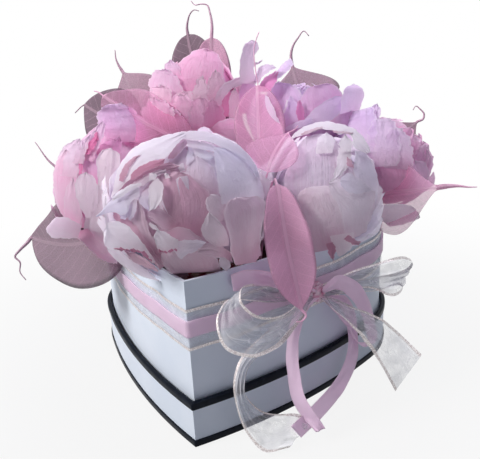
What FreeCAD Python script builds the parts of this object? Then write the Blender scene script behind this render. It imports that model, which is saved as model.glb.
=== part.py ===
"""Heart-shaped flower box: a card box standing in its own lid, filled with peonies and skeleton leaves.

Frame: millimetres, +Z up, origin on the table under the middle of the heart, the heart's point towards -Y.
The lid is turned over and carries the box. A foam block inside the box, cut in two along the middle of the heart,
holds every stem, and two ribbons are tied round the wall with one bow on the right-hand side of the point.
"""

import FreeCAD
import Part
import math
import os

import Sketcher
from FreeCAD import Placement, Rotation, Vector

OUT_FOLDER = "parts"

# Driving dimensions, all in millimetres, degrees or plain shares.
SIZES = {
    # Heart outline of the box wall: two lobe arcs and two long side arcs that meet at the point.
    "lobe_radius": 56.0,
    "lobe_across": 44.0,
    "lobe_back": 37.5,
    "side_across": 215.0,
    "side_back": 191.5,
    # Card shells.
    "card": 1.6,
    "lid_card": 1.6,
    "flush": 0.0,
    "panel": 2.0,
    "box_tall": 100.0,
    "lid_tall": 29.0,
    "lid_play": 2.0,
    "trim": 0.6,
    "rim_trim_tall": 4.4,
    "base_trim_tall": 4.4,
    # Foam and the film round it.
    "film": 0.4,
    "film_play": 0.6,
    "film_tall": 77.0,
    "foam_tall": 74.0,
    "foam_cut": 0.4,
    "crown_radius": 26.0,
    "crown_across": 6.0,
    "crown_back": 28.0,
    "crown_tall": 44.0,
    "crown_slope": 8.0,
    # Ribbons.
    "ribbon": 0.3,
    "organza_wide": 25.0,
    "organza_low": 61.0,
    "satin_wide": 10.0,
    "satin_low": 69.5,
    "knot_along": 6.5,
    "knot_out": 5.0,
    "knot_up": 6.0,
    "knot_stand": 6.6,
    "knot_lift": 3.5,
    # Flowers and leaves.
    "petal": 0.8,
    "petal_gap": 0.3,
    "petal_count": 6,
    "stem_radius": 2.0,
    "stem_plug": 4.0,
    "sepal": 1.0,
    "sepal_reach": 34.0,
    "rim_gap": 0.6,
    "blade": 0.5,
    "blade_fold": 12.0,
    "blade_clear": 1.5,
    "rib_radius": 0.8,
    "tail_tip_radius": 0.35,
}

# Peony: centre of the head, its outer radius, and the spot in the foam that its stem points at.
PEONIES = {
    "front": ((-7, -54, 130), 46, (5, -35, 40)),
    "right": ((65, -10, 126), 36, (25, 10, 45)),
    "left": ((-76, -15, 123), 33, (-35, 15, 45)),
    "top_left": ((-30, 50, 172), 34, (-10, 38, 70)),
    "top_right": ((47, 53, 156), 29, (22, 38, 70)),
    "far_right": ((103, 44, 131), 31, (48, 35, 60)),
    "rear_left": ((-72, 80, 118), 36, (-38, 45, 45)),
    "rear_right": ((20, 84, 112), 30, (20, 56, 45)),
}

# Leaf: base and end of the blade, the side it faces, blade width, tail length, and its spot in the foam.
LEAVES = {
    "left_low": ((-60, -28, 106), (-124, -31, 97), (0.1, -0.95, 0.3), 60, 24, (-42, -22, 60)),
    "left_mid": ((-88, 14, 120), (-121, 8, 134), (0.2, -0.9, 0.4), 40, 22, (-60, 20, 62)),
    "left_high": ((-62, 20, 155), (-103, 28, 173), (-0.2, -0.9, 0.4), 44, 16, (-52, 25, 62)),
    "upper_left": ((-55, 33, 160), (-78, 42, 193), (-0.2, -0.9, 0.4), 46, 16, (-44, 33, 62)),
    "top_back": ((-34, 84, 172), (-43, 88, 213), (0.1, -0.95, 0.2), 34, 14, (-18, 64, 62)),
    "top": ((-20, 70, 172), (-21, 72, 211), (0.1, -0.95, 0.2), 26, 24, (-6, 56, 62)),
    "top_right": ((42, 88, 160), (33, 92, 189), (0.1, -0.95, 0.2), 56, 24, (36, 70, 62)),
    "right_back": ((90, 66, 124), (122, 66, 152), (0.3, -0.9, 0.2), 42, 18, (66, 56, 62)),
    "right": ((88, 22, 112), (136, 14, 122), (0.2, -0.95, 0.2), 52, 16, (66, 22, 62)),
    "front": ((43, -51, 142), (58, -72, 78), (0.6, -0.8, 0.1), 30, 12, (24, -24, 62)),
    "centre": ((24, 4, 135), (20, 26, 184), (0.2, -0.9, 0.4), 50, 32, (14, 8, 62)),
    "over_right": ((36, -38, 145), (46, -22, 164), (-0.2, -0.4, 0.9), 36, 10, (16, -8, 62)),
    "over_back": ((-18, 2, 150), (-79, 8, 182), (0.2, -0.8, 0.6), 48, 12, (-6, 6, 62)),
}

# Ribbon strips of the bow. Each station is the strip's two edges, and each edge is given along the wall,
# out from the wall and up from the knot spot.
STRIPS = {
    "organza_loop_left": [
        ((-9, 8, 6), (-9, 8, 2)), ((-20, 11, 6), (-18, 12, -1)), ((-32, 14, 4), (-29, 16, -6)),
        ((-51, 18, 7), (-50, 22, -11)), ((-61, 19, 14), (-68, 26, -8)), ((-64, 16, 21), (-79, 22, 0)),
        ((-60, 12, 24), (-77, 14, 11)), ((-51, 8, 22), (-68, 9, 17)), ((-40, 4, 18), (-50, 5, 11)),
        ((-26, 3, 11), (-32, 3, 3)), ((-9, 4, 6), (-10, 4, 1))],
    "organza_loop_right": [
        ((-5, 8, 6), (-5, 8, 2)), ((13, 14, 11), (15, 15, 1)), ((28, 21, 14), (27, 24, -1)),
        ((40, 27, 16), (30, 33, -3)), ((57, 27, 11), (42, 33, -6)), ((73, 23, -1), (53, 28, -8)),
        ((75, 17, -9), (59, 20, -12)), ((61, 10, -9), (54, 12, -16)), ((38, 6, -5), (37, 7, -13)),
        ((12, 4, 0), (13, 4, -6)), ((-5, 4, 5), (-5, 4, 2))],
    "organza_tail_left": [
        ((-10, 6, 2), (-7, 6, -1)), ((-34, 8, -6), (-31, 9, -12)), ((-52, 10, -12), (-50, 12, -18)),
        ((-65, 13, -19), (-61, 15, -24)), ((-72, 18, -30), (-67, 20, -33)),
        ((-73, 22, -44), (-64, 24, -42)), ((-69, 25, -60), (-54, 26, -50)),
        ((-64, 31, -68), (-41, 28, -54)), ((-52, 35, -68), (-33, 31, -61))],
    "organza_tail_right": [
        ((-5, 10, 4), (-6, 10, 1)), ((3, 25, -2), (-3, 26, -8)), ((24, 33, -16), (6, 35, -23)),
        ((38, 40, -32), (14, 40, -39)), ((42, 51, -41), (25, 44, -62))],
    "satin_loop_left": [
        ((-9, 10, 7), (-9, 10, 3)), ((-26, 8, 19), (-26, 8, 10)), ((-42, 6, 28), (-42, 6, 19)),
        ((-53, 5, 31), (-52, 5, 21)), ((-61, 4, 30), (-60, 4, 20)), ((-55, 2, 28), (-54, 2, 18))],
    "satin_loop_right": [
        ((-5, 11, 7), (-5, 11, 3)), ((2, 17, 15), (3, 17, 5)), ((13, 20, 9), (7, 20, 1)),
        ((23, 22, -5), (14, 22, -9)), ((31, 22, -25), (21, 22, -24)), ((34, 21, -42), (24, 21, -37)),
        ((32, 15, -47), (24, 15, -40)), ((20, 12, -30), (14, 12, -23)), ((-4, 9, 3), (-5, 9, 1))],
    "satin_tail_left": [
        ((-10, 9, 3), (-6, 10, 1)), ((-22, 10, 0), (-16, 12, -2)), ((-32, 11, -11), (-29, 18, -9)),
        ((-37, 15, -22), (-35, 23, -18)), ((-39, 19, -35), (-37, 27, -30)), ((-40, 24, -48), (-38, 32, -42)),
        ((-37, 30, -59), (-35, 37, -52)), ((-36, 38, -63), (-31, 40, -62))],
    "satin_tail_right": [
        ((-4, 8, 2), (-4, 8, -1)), ((14, 8, -14), (20, 8, -9)), ((21, 8, -32), (30, 8, -29)),
        ((13, 14, -46), (22, 16, -50)), ((-5, 20, -53), (1, 23, -60)), ((-26, 26, -55), (-20, 29, -63)),
        ((-48, 32, -57), (-43, 34, -66))],
}
KNOT_SPOT = (61.6, -34.6, 71.0)

AXES = ("across", "back", "up")

doc = FreeCAD.newDocument("flower_box")
sheet = doc.addObject("Spreadsheet::Sheet", "sizes")
nodes = []


def fill_sheet():
    """Writes every size, and the place of every flower and leaf, as a named cell."""
    cells = dict(SIZES)
    for name, (centre, radius, foot) in PEONIES.items():
        cells[f"peony_{name}_radius"] = radius
        cells.update(place_cells(f"peony_{name}_head", centre))
        cells.update(place_cells(f"peony_{name}_foot", foot))
    for name, (base, end, facing, wide, tail, foot) in LEAVES.items():
        cells[f"leaf_{name}_wide"] = wide
        cells[f"leaf_{name}_tail"] = tail
        for word, spot in (("base", base), ("end", end), ("facing", facing), ("foot", foot)):
            cells.update(place_cells(f"leaf_{name}_{word}", spot))
    cells.update(place_cells("knot_spot", KNOT_SPOT))
    for row, (alias, number) in enumerate(cells.items(), start=1):
        sheet.set(f"A{row}", alias)
        sheet.set(f"B{row}", str(number))
        sheet.setAlias(f"B{row}", alias)
    doc.recompute()


def place_cells(name, spot):
    """Three cells for the three coordinates of one place."""
    return {f"{name}_{axis}": number for axis, number in zip(AXES, spot)}


def size(alias):
    """A driving dimension, read back from the sheet."""
    return float(getattr(sheet, alias))


def place(name):
    """A place, read back from its three cells."""
    return Vector(*[size(f"{name}_{axis}") for axis in AXES])


# Heart outline


def heart_parts(grow):
    """The four arcs of the heart, grown outwards by a distance: (centre, radius, start and end angle)."""
    lobe = Vector(size("lobe_across"), size("lobe_back"), 0)
    side = Vector(-size("side_across"), size("side_back"), 0)
    lobe_radius = size("lobe_radius") + grow
    side_radius = lobe_radius + (lobe - side).Length
    join = math.atan2(lobe.y - side.y, lobe.x - side.x)
    point = -math.acos(-side.x / side_radius)
    notch = math.acos(-lobe.x / lobe_radius)
    mirror_lobe = Vector(-lobe.x, lobe.y, 0)
    mirror_side = Vector(-side.x, side.y, 0)
    return [
        (side, side_radius, point, join),
        (lobe, lobe_radius, join, notch),
        (mirror_lobe, lobe_radius, math.pi - notch, math.pi - join),
        (mirror_side, side_radius, math.pi - join, math.pi - point),
    ]


def add_heart(sketch, grow_rule):
    """Draws one heart in a sketch. grow_rule is the outward offset, written with the sheet's cells."""
    arcs = []
    for centre, radius, start, end in heart_parts(offset_value(grow_rule)):
        circle = Part.Circle(centre, Vector(0, 0, 1), radius)
        arcs.append(sketch.addGeometry(Part.ArcOfCircle(circle, start, end), False))
    right_side, right_lobe, left_lobe, left_side = arcs
    sketch.addConstraint(Sketcher.Constraint("Tangent", right_side, 2, right_lobe, 1))
    sketch.addConstraint(Sketcher.Constraint("Coincident", right_lobe, 2, left_lobe, 1))
    sketch.addConstraint(Sketcher.Constraint("Tangent", left_lobe, 2, left_side, 1))
    sketch.addConstraint(Sketcher.Constraint("Coincident", left_side, 2, right_side, 1))
    for arc, across, back, is_right in (
        (right_lobe, "lobe_across", "lobe_back", True),
        (left_lobe, "lobe_across", "lobe_back", False),
        (right_side, "side_across", "side_back", False),
        (left_side, "side_across", "side_back", True),
    ):
        ends = (-1, 1, arc, 3) if is_right else (arc, 3, -1, 1)
        bind(sketch, Sketcher.Constraint("DistanceX", *ends, size(across)), f"sizes.{across}")
        bind(sketch, Sketcher.Constraint("DistanceY", -1, 1, arc, 3, size(back)), f"sizes.{back}")
    for arc in (right_lobe, left_lobe):
        radius = size("lobe_radius") + offset_value(grow_rule)
        bind(sketch, Sketcher.Constraint("Radius", arc, radius), f"sizes.lobe_radius + ({grow_rule})")


def offset_value(rule):
    """The number that an offset expression such as '-sizes.card' stands for: a signed sum of cells."""
    total = 0.0
    for term in rule.replace("-", "+-").split("+"):
        word = term.strip()
        if word:
            sign = -1.0 if word.startswith("-") else 1.0
            total += sign * size(word.lstrip("- ").replace("sizes.", ""))
    return total


def bind(sketch, constraint, rule):
    """Adds a constraint and ties its value to the sheet."""
    index = sketch.addConstraint(constraint)
    name = f"size_{index}"
    sketch.renameConstraint(index, name)
    sketch.setExpression(f"Constraints.{name}", rule)


def heart_sketch(body, name, rules, height_rule):
    """A sketch on the body's XY plane, lifted by height_rule, holding one heart per offset rule."""
    sketch = body.newObject("Sketcher::SketchObject", name)
    plane = next(f for f in body.Origin.OriginFeatures if f.Role == "XY_Plane")
    sketch.AttachmentSupport = [(plane, "")]
    sketch.MapMode = "FlatFace"
    if height_rule:
        sketch.setExpression("AttachmentOffset.Base.z", height_rule)
    for rule in rules:
        add_heart(sketch, rule)
    doc.recompute()
    return sketch


def heart_body(name, rules, low_rule, tall_rule):
    """A body whose first feature is a heart, or a heart-shaped ring, padded upwards."""
    body = doc.addObject("PartDesign::Body", name)
    body.Label = name
    pad = body.newObject("PartDesign::Pad", f"{name}_pad")
    pad.Profile = heart_sketch(body, f"{name}_outline", rules, low_rule)
    pad.setExpression("Length", tall_rule)
    body.Tip = pad
    doc.recompute()
    return body


def heart_pocket(body, rules, low_rule, tall_rule):
    """Cuts a heart, or a heart-shaped ring, upwards from low_rule out of a body."""
    before = body.Shape.Volume
    pocket = body.newObject("PartDesign::Pocket", f"{body.Name}_pocket")
    pocket.Profile = heart_sketch(body, f"{body.Name}_pocket_outline", rules, low_rule)
    pocket.Reversed = True
    pocket.setExpression("Length", tall_rule)
    body.Tip = pocket
    doc.recompute()
    assert body.Shape.Volume < before - 1.0, f"{body.Name}: the pocket cut nothing"


def heart_prism(grow, low, high):
    """A plain heart-shaped solid, for trimming other shapes."""
    edges = []
    for centre, radius, start, end in heart_parts(grow):
        circle = Part.Circle(centre + Vector(0, 0, low), Vector(0, 0, 1), radius)
        edges.append(Part.ArcOfCircle(circle, start, end).toShape())
    return Part.Face(Part.Wire(Part.__sortEdges__(edges))).extrude(Vector(0, 0, high - low))


# Card shells: the lid that serves as a stand, and the box


LID_IN = "sizes.lid_play"
LID_OUT = "sizes.lid_play + sizes.lid_card"
BOX_OUT = "sizes.flush"
BOX_IN = "-sizes.card"
FLOOR = "sizes.panel + sizes.panel"


def make_lid():
    """Lid panel and wall with a black edging folded over the rim and another round the foot."""
    nodes.append(heart_body("lid_panel", [LID_IN], "", "sizes.panel"))
    nodes.append(heart_body("lid_wall", [LID_OUT, LID_IN], "", "sizes.lid_tall"))
    rim_low = "sizes.lid_tall - sizes.rim_trim_tall"
    rim = heart_body(
        "lid_rim_trim",
        [f"{LID_OUT} + sizes.trim", f"{LID_IN} - sizes.trim"],
        rim_low,
        "sizes.rim_trim_tall + sizes.trim",
    )
    heart_pocket(rim, [LID_OUT, LID_IN], rim_low, "sizes.rim_trim_tall")
    nodes.append(rim)
    foot = heart_body("lid_base_trim", [f"{LID_OUT} + sizes.trim", LID_OUT], "", "sizes.base_trim_tall")
    nodes.append(foot)


def make_box():
    """Box wall on the lid panel, with its bottom panel pushed in flush."""
    nodes.append(heart_body("box_wall", [BOX_OUT, BOX_IN], "sizes.panel", "sizes.box_tall"))
    nodes.append(heart_body("box_bottom", [BOX_IN], "sizes.panel", "sizes.panel"))


def make_bands():
    """The sheer ribbon round the wall and the narrow satin ribbon over it."""
    under = ["sizes.ribbon", BOX_OUT]
    over = ["sizes.ribbon + sizes.ribbon", "sizes.ribbon"]
    nodes.append(heart_body("organza_band", under, "sizes.organza_low", "sizes.organza_wide"))
    nodes.append(heart_body("satin_band", over, "sizes.satin_low", "sizes.satin_wide"))


def make_foam():
    """The film liner and the foam body, with a raised crown for the upper flowers."""
    film_out = f"{BOX_IN} - sizes.film_play"
    film_in = f"{film_out} - sizes.film"
    film = heart_body("foam_film", [film_out], FLOOR, "sizes.film_tall")
    heart_pocket(film, [film_in], f"{FLOOR} + sizes.film", "sizes.film_tall")
    nodes.append(film)
    foam = heart_body("foam_body", [film_in], f"{FLOOR} + sizes.film", "sizes.foam_tall")
    crown = foam.newObject("Sketcher::SketchObject", "crown_outline")
    plane = next(f for f in foam.Origin.OriginFeatures if f.Role == "XY_Plane")
    crown.AttachmentSupport = [(plane, "")]
    crown.MapMode = "FlatFace"
    crown.setExpression("AttachmentOffset.Base.z", f"{FLOOR} + sizes.film + sizes.foam_tall")
    spot = Vector(size("crown_across"), size("crown_back"), 0)
    circle = crown.addGeometry(Part.Circle(spot, Vector(0, 0, 1), size("crown_radius")), False)
    bind(crown, Sketcher.Constraint("DistanceX", -1, 1, circle, 3, spot.x), "sizes.crown_across")
    bind(crown, Sketcher.Constraint("DistanceY", -1, 1, circle, 3, spot.y), "sizes.crown_back")
    bind(crown, Sketcher.Constraint("Radius", circle, size("crown_radius")), "sizes.crown_radius")
    doc.recompute()
    pad = foam.newObject("PartDesign::Pad", "crown_pad")
    pad.Profile = crown
    pad.setExpression("Length", "sizes.crown_tall")
    pad.TaperAngle = -size("crown_slope")
    foam.Tip = pad
    doc.recompute()
    return foam


# Flowers


def keep_out():
    """All the room that the box wall takes up, and everything below the rim outside it."""
    rim = size("panel") + size("box_tall") + size("rim_gap")
    reach = 2 * (size("lobe_radius") + size("lobe_across"))
    block = Part.makeBox(2 * reach, 2 * reach, rim, Vector(-reach, -reach, 0))
    return block.cut(heart_prism(-size("card") - size("rim_gap"), 0, rim))


def petal_shell(radius, side_angle, top_share, half_share):
    """One cupped petal round the origin, opening towards +Z: a slice of a thin ball in a petal's outline."""
    thick = size("petal")
    ball = Part.makeSphere(radius + thick).cut(Part.makeSphere(radius))
    corners = []
    for side in (-1, 1):
        low = Vector(0, side * 0.12 * radius, -0.985 * radius)
        belly = Vector(0, side * half_share * radius, -0.12 * radius)
        shoulder = Vector(0, side * half_share * 0.86 * radius, top_share * 0.62 * radius)
        corners.append((low, belly, shoulder))
    (low, belly, shoulder), (far_low, far_belly, far_shoulder) = corners
    edges = [
        Part.Arc(low, belly, shoulder).toShape(),
        Part.Arc(shoulder, Vector(0, 0, top_share * radius), far_shoulder).toShape(),
        Part.Arc(far_shoulder, far_belly, far_low).toShape(),
        Part.LineSegment(far_low, low).toShape(),
    ]
    outline = Part.Face(Part.Wire(edges))
    petal = ball.common(outline.extrude(Vector(radius + 2 * thick, 0, 0)))
    petal.rotate(Vector(0, 0, 0), Vector(0, 0, 1), side_angle)
    return petal


def sepal_cup(radius):
    """The small cup of sepals under the petals: a cap of a thin ball."""
    thick = size("sepal")
    ball = Part.makeSphere(radius + thick).cut(Part.makeSphere(radius))
    reach = (radius + 2 * thick) * math.tan(math.radians(size("sepal_reach")))
    cone = Part.makeCone(0, reach, radius + 2 * thick, Vector(0, 0, 0), Vector(0, 0, -1))
    return ball.common(cone)


def make_peony(name, walls):
    """Bud, nested petals, and stem with its sepals. Everything but the stem is trimmed to the box's rim."""
    head = place(f"peony_{name}_head")
    foot = place(f"peony_{name}_foot")
    turn = Rotation(Vector(0, 0, 1), head - foot)
    upright = Placement(head, turn)
    step = size("petal") + size("petal_gap")
    count = int(size("petal_count"))
    inner = size(f"peony_{name}_radius") - count * step - size("sepal")

    ball = doc.addObject("Part::Sphere", f"peony_{name}_ball")
    rule = "sizes.petal_count * (sizes.petal + sizes.petal_gap) + sizes.sepal"
    ball.setExpression("Radius", f"sizes.peony_{name}_radius - ({rule})")
    ball.Placement = upright
    rod = doc.addObject("Part::Cylinder", f"peony_{name}_rod")
    rod.setExpression("Radius", "sizes.stem_radius")
    rod.Height = (head - foot).Length - inner + size("stem_plug")
    rod.Placement = Placement(foot, turn)
    doc.recompute()
    bud = ball.Shape.cut(rod.Shape).cut(walls)

    petals = []
    for index in range(count):
        around = index * (360.0 / count) * 2 + (36.0 if index >= count // 2 else 0.0)
        top_share = 0.86 - 0.10 * (index % 3)
        shell = petal_shell(inner + size("petal_gap") + index * step, around, top_share, 0.74)
        shell.Placement = upright.multiply(shell.Placement)
        petals.append(largest(shell.cut(rod.Shape).cut(walls)))

    cup = sepal_cup(size(f"peony_{name}_radius") - size("sepal"))
    cup.Placement = upright.multiply(cup.Placement)
    stem = rod.Shape.fuse(cup.cut(walls)).removeSplitter()
    return {"bud": bud, "petals": petals, "stem": stem}


# Leaves


def largest(shape):
    """The biggest solid of a trimmed shape, without its offcuts."""
    return max(shape.Solids, key=lambda solid: solid.Volume)


def leaf_frame(base, end, facing):
    """Placement whose X runs along the blade and whose Z faces the given side."""
    along = (end - base).normalize()
    across = facing.cross(along).normalize()
    normal = along.cross(across)
    matrix = FreeCAD.Matrix(
        along.x, across.x, normal.x, base.x,
        along.y, across.y, normal.y, base.y,
        along.z, across.z, normal.z, base.z,
        0, 0, 0, 1,
    )
    return Placement(matrix)


def half_blade(long, half_wide, side):
    """Half of a heart-shaped blade with a drawn-out tip, folded up a little along the midrib."""
    widest = 0.36 * long
    base = Vector(0, 0, 0)
    broad = Vector(widest, side * half_wide, 0)
    tip = Vector(long, 0, 0)
    edges = [
        Part.Arc(base, Vector(0.08 * long, side * 0.72 * half_wide, 0), broad).toShape(),
        Part.Arc(broad, Vector(0.70 * long, side * 0.60 * half_wide, 0), tip).toShape(),
        Part.LineSegment(tip, base).toShape(),
    ]
    sheet_face = Part.Face(Part.Wire(edges))
    blade = sheet_face.extrude(Vector(0, 0, size("blade")))
    blade.translate(Vector(0, 0, -size("blade") / 2))
    blade.rotate(base, Vector(1, 0, 0), side * size("blade_fold"))
    return blade


def make_leaf(name, blocked):
    """A skeleton leaf in one piece: two blade halves, midrib, long tail and the stalk down to the foam."""
    base = place(f"leaf_{name}_base")
    end = place(f"leaf_{name}_end")
    foot = place(f"leaf_{name}_foot")
    turned = leaf_frame(base, end, place(f"leaf_{name}_facing"))
    long = (end - base).Length
    rib = size("rib_radius")
    halves = []
    for side in (1, -1):
        half = half_blade(long, size(f"leaf_{name}_wide") / 2.0, side)
        half.Placement = turned.multiply(half.Placement)
        halves.append(half.cut(blocked))
    along = (end - base).normalize()
    midrib = Part.makeCylinder(rib, long, base, along)
    tip = Part.makeCone(rib, size("tail_tip_radius"), size(f"leaf_{name}_tail"), end, along)
    stalk = Part.makeCylinder(rib, (base - foot).Length, foot, base - foot)
    elbow = Part.makeSphere(rib, base)
    joined = midrib.multiFuse([*halves, tip, stalk, elbow]).removeSplitter()
    return largest(joined)


# Bow


def bow_axes():
    """Directions at the knot: along the wall, and straight out from it."""
    side = Vector(-size("side_across"), size("side_back"), 0)
    spot = place("knot_spot")
    out = Vector(spot.x - side.x, spot.y - side.y, 0).normalize()
    return Vector(-out.y, out.x, 0), out


def bow_point(along, out, up):
    """A point given along the wall, out from it and up from the knot, following the wall's slight curve."""
    wall_along, wall_out = bow_axes()
    spot = place("knot_spot")
    reach = math.hypot(spot.x + size("side_across"), spot.y - size("side_back"))
    sagitta = reach - math.sqrt(reach * reach - along * along)
    return spot + wall_along * along + wall_out * (out - sagitta) + Vector(0, 0, up)


def strip(stations):
    """A thin ribbon lofted through short straight sections, one per station."""
    edges = [(bow_point(*near), bow_point(*far)) for near, far in stations]
    middles = [(near + far) * 0.5 for near, far in edges]
    sections = []
    for index, (near, far) in enumerate(edges):
        before = middles[max(index - 1, 0)]
        after = middles[min(index + 1, len(middles) - 1)]
        thick = (after - before).cross(far - near).normalize() * (size("ribbon") / 2.0)
        corners = [near - thick, far - thick, far + thick, near + thick]
        sections.append(Part.makePolygon([*corners, corners[0]]))
    return Part.makeLoft(sections, True, True)


def make_bow():
    """The knot, then every loop and tail, each trimmed by what was tied before it."""
    wall_out = bow_axes()[1]
    knot = doc.addObject("Part::Ellipsoid", "bow_knot")
    knot.setExpression("Radius1", "sizes.knot_up")
    knot.setExpression("Radius2", "sizes.knot_out")
    knot.setExpression("Radius3", "sizes.knot_along")
    turn = math.degrees(math.atan2(wall_out.y, wall_out.x))
    spot = bow_point(-size("knot_along"), size("knot_stand"), size("knot_lift"))
    knot.Placement = Placement(spot, Rotation(Vector(0, 0, 1), turn))
    doc.recompute()
    nodes.append(knot)
    tied = [knot.Shape]
    for name, stations in STRIPS.items():
        shape = strip(stations)
        for other in tied:
            if shape.BoundBox.intersect(other.BoundBox):
                shape = shape.cut(other)
        tied.append(largest(shape))
        nodes.append(feature(name, tied[-1]))


def feature(name, shape):
    """A document object that holds a finished shape."""
    made = doc.addObject("Part::Feature", name)
    made.Label = name
    made.Shape = shape
    return made


def make_arrangement(foam):
    """Flowers first, then leaves trimmed to the heads, and the foam, cut in two halves, with a hole for each stem."""
    walls = keep_out()
    flowers = {name: make_peony(name, walls) for name in PEONIES}
    balls = []
    for name in PEONIES:
        radius = size(f"peony_{name}_radius") + size("petal_gap")
        balls.append(Part.makeSphere(radius, place(f"peony_{name}_head")))
    heads = balls[0].multiFuse(balls[1:])
    rim = size("panel") + size("box_tall") + size("rim_gap")
    blocked = heads.fuse(heart_prism(size("blade_clear"), 0, rim))
    leaves = {name: make_leaf(name, blocked) for name in LEAVES}

    stalks = Part.Compound(list(leaves.values()))
    for name, flower in flowers.items():
        petals = []
        for petal in flower["petals"]:
            petals.append(largest(petal.cut(stalks)))
        bud = flower["bud"].cut(stalks)
        nodes.append(feature(f"peony_{name}_bud", bud))
        nodes.append(feature(f"peony_{name}_petals", Part.Compound(petals)))
        nodes.append(feature(f"peony_{name}_stem", flower["stem"]))
    for name, leaf in leaves.items():
        nodes.append(feature(f"leaf_{name}", leaf))
    stems = Part.Compound([flower["stem"] for flower in flowers.values()])
    gap = size("foam_cut")
    knife = Part.makeBox(gap, 400, 400, Vector(-gap / 2, -200, -100))
    halves = foam.Shape.cut(stems).cut(stalks).cut(knife).Solids
    halves.sort(key=lambda solid: solid.Volume)
    nodes.append(feature("foam_block", Part.Compound(halves[-2:])))


def write_parts():
    """Checks every object and sub-part, then writes one STEP file for each."""
    doc.recompute()
    for item in doc.Objects:
        states = set(item.State)
        assert not states & {"Invalid", "Error"}, f"{item.Name}: {item.State}"
    os.makedirs(OUT_FOLDER, exist_ok=True)
    for node in nodes:
        shape = node.Shape
        assert not shape.isNull() and shape.isValid(), f"{node.Label}: not a valid shape"
        assert shape.Solids, f"{node.Label}: no solid"
        shape.exportStep(os.path.join(OUT_FOLDER, f"{node.Label}.step"))
        print(f"{node.Label}: {len(shape.Solids)} solids, {shape.Volume:.0f} mm3")


fill_sheet()
make_lid()
make_box()
make_bands()
make_arrangement(make_foam())
make_bow()
write_parts()
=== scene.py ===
# %% [markdown]
# # A heart-shaped box of peonies
# A white card box in the shape of a heart stands in its own upturned lid. Two ribbons go round it and end in
# one bow, and the box is full of peonies and skeleton leaves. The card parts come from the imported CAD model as
# they are. Everything soft is made again here as thin surfaces: every shape is a numpy grid, so one formula in
# whole arrays gives all of its points. This first cell loads the CAD model, which stays fixed.

# %% Load the frame
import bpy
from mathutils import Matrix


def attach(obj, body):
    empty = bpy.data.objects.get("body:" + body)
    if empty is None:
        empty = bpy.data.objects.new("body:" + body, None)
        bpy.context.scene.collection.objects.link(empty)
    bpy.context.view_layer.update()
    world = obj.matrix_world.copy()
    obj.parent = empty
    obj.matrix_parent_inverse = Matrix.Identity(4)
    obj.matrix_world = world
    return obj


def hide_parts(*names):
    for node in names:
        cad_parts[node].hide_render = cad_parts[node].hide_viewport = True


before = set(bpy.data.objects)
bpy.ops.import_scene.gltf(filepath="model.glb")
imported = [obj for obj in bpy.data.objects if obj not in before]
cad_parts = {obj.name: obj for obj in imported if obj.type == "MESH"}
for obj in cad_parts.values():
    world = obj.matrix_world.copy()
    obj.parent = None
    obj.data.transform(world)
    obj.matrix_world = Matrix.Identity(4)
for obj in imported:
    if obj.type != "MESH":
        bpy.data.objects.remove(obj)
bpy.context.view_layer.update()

import math

import bpy
import numpy as np
from mathutils import Matrix

print("nodes:", len(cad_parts))

# %% [markdown]
# ## Camera
# The camera stands where the photographer stood, a little to the right of the heart's point and looking down.
# Its place and lens could be guessed by eye. Here they were solved from the heart outline and the ribbon edges,
# so a spot in the picture and a spot on the object belong together, which helps later with the petals.

# %% Camera
EYE = np.array([0.0954, -0.3657, 0.2396])
FOCAL_PIXELS = 613.2
PICTURE = np.array([480.0, 459.0])


def looking(yaw, pitch, roll):
    """Right, up and back of a camera turned by yaw about Z, tipped down by pitch and rolled about its own axis."""
    back = np.array([math.sin(yaw) * math.cos(pitch), -math.cos(yaw) * math.cos(pitch), math.sin(pitch)])
    right = np.array([math.cos(yaw), math.sin(yaw), 0.0])
    up = np.cross(back, right)
    return (
        right * math.cos(roll) + up * math.sin(roll),
        up * math.cos(roll) - right * math.sin(roll),
        back,
    )


YAW_PITCH_ROLL = np.radians([13.258, 21.069, -3.061])
RIGHT, UP, BACK = looking(*YAW_PITCH_ROLL)
lens = bpy.data.cameras.new("photo_camera")
lens.sensor_width = 36.0
lens.lens = FOCAL_PIXELS * lens.sensor_width / PICTURE[0]
lens.clip_start = 0.01
camera = bpy.data.objects.new("photo_camera", lens)
turn = Matrix([[*RIGHT], [*UP], [*BACK]]).transposed()
camera.matrix_world = Matrix.Translation(EYE) @ turn.to_4x4()
bpy.context.scene.collection.objects.link(camera)
bpy.context.scene.camera = camera
print("lens:", round(lens.lens, 2), "mm")

# %% [markdown]
# ## Light, floor and white surroundings
# The picture was taken in soft daylight from the upper left, and then cut out on white. An area lamp plays the sky
# on that side, a bigger, bluer one the sky above and behind, a weak one fills in from the front right, and the world
# gives the rest. The white behind the object is only what the camera and mirror-like rays see, so it adds no light
# of its own. The floor is a pale sheet that catches a soft shadow near the box and turns plain white further away.

# %% Light and floor
bpy.context.scene.view_settings.view_transform = "Standard"


def plug(tree, socket, value):
    """Links a socket to another one, or sets its plain value."""
    if isinstance(value, bpy.types.NodeSocket):
        tree.links.new(value, socket)
    else:
        socket.default_value = value


def node(tree, kind, settings=None, **inputs):
    """One node of a kind, with its settings, and its inputs given by name with spaces as underscores."""
    made = tree.nodes.new(kind)
    for key, value in (settings or {}).items():
        setattr(made, key, value)
    for key, value in inputs.items():
        plug(tree, made.inputs[key.replace("_", " ")], value)
    return made


def sums(tree, operation, first, second=0.0, third=0.0):
    """The output of one Math node."""
    made = tree.nodes.new("ShaderNodeMath")
    made.operation = operation
    for socket, value in zip(made.inputs, (first, second, third)):
        plug(tree, socket, value)
    return made.outputs[0]


def blend(tree, share, first, second):
    """The colour between two colours, by a share from 0 to 1."""
    made = node(tree, "ShaderNodeMix", {"data_type": "RGBA"})
    for place, value in ((0, share), (6, first), (7, second)):
        plug(tree, made.inputs[place], value)
    return made.outputs[2]


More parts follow.
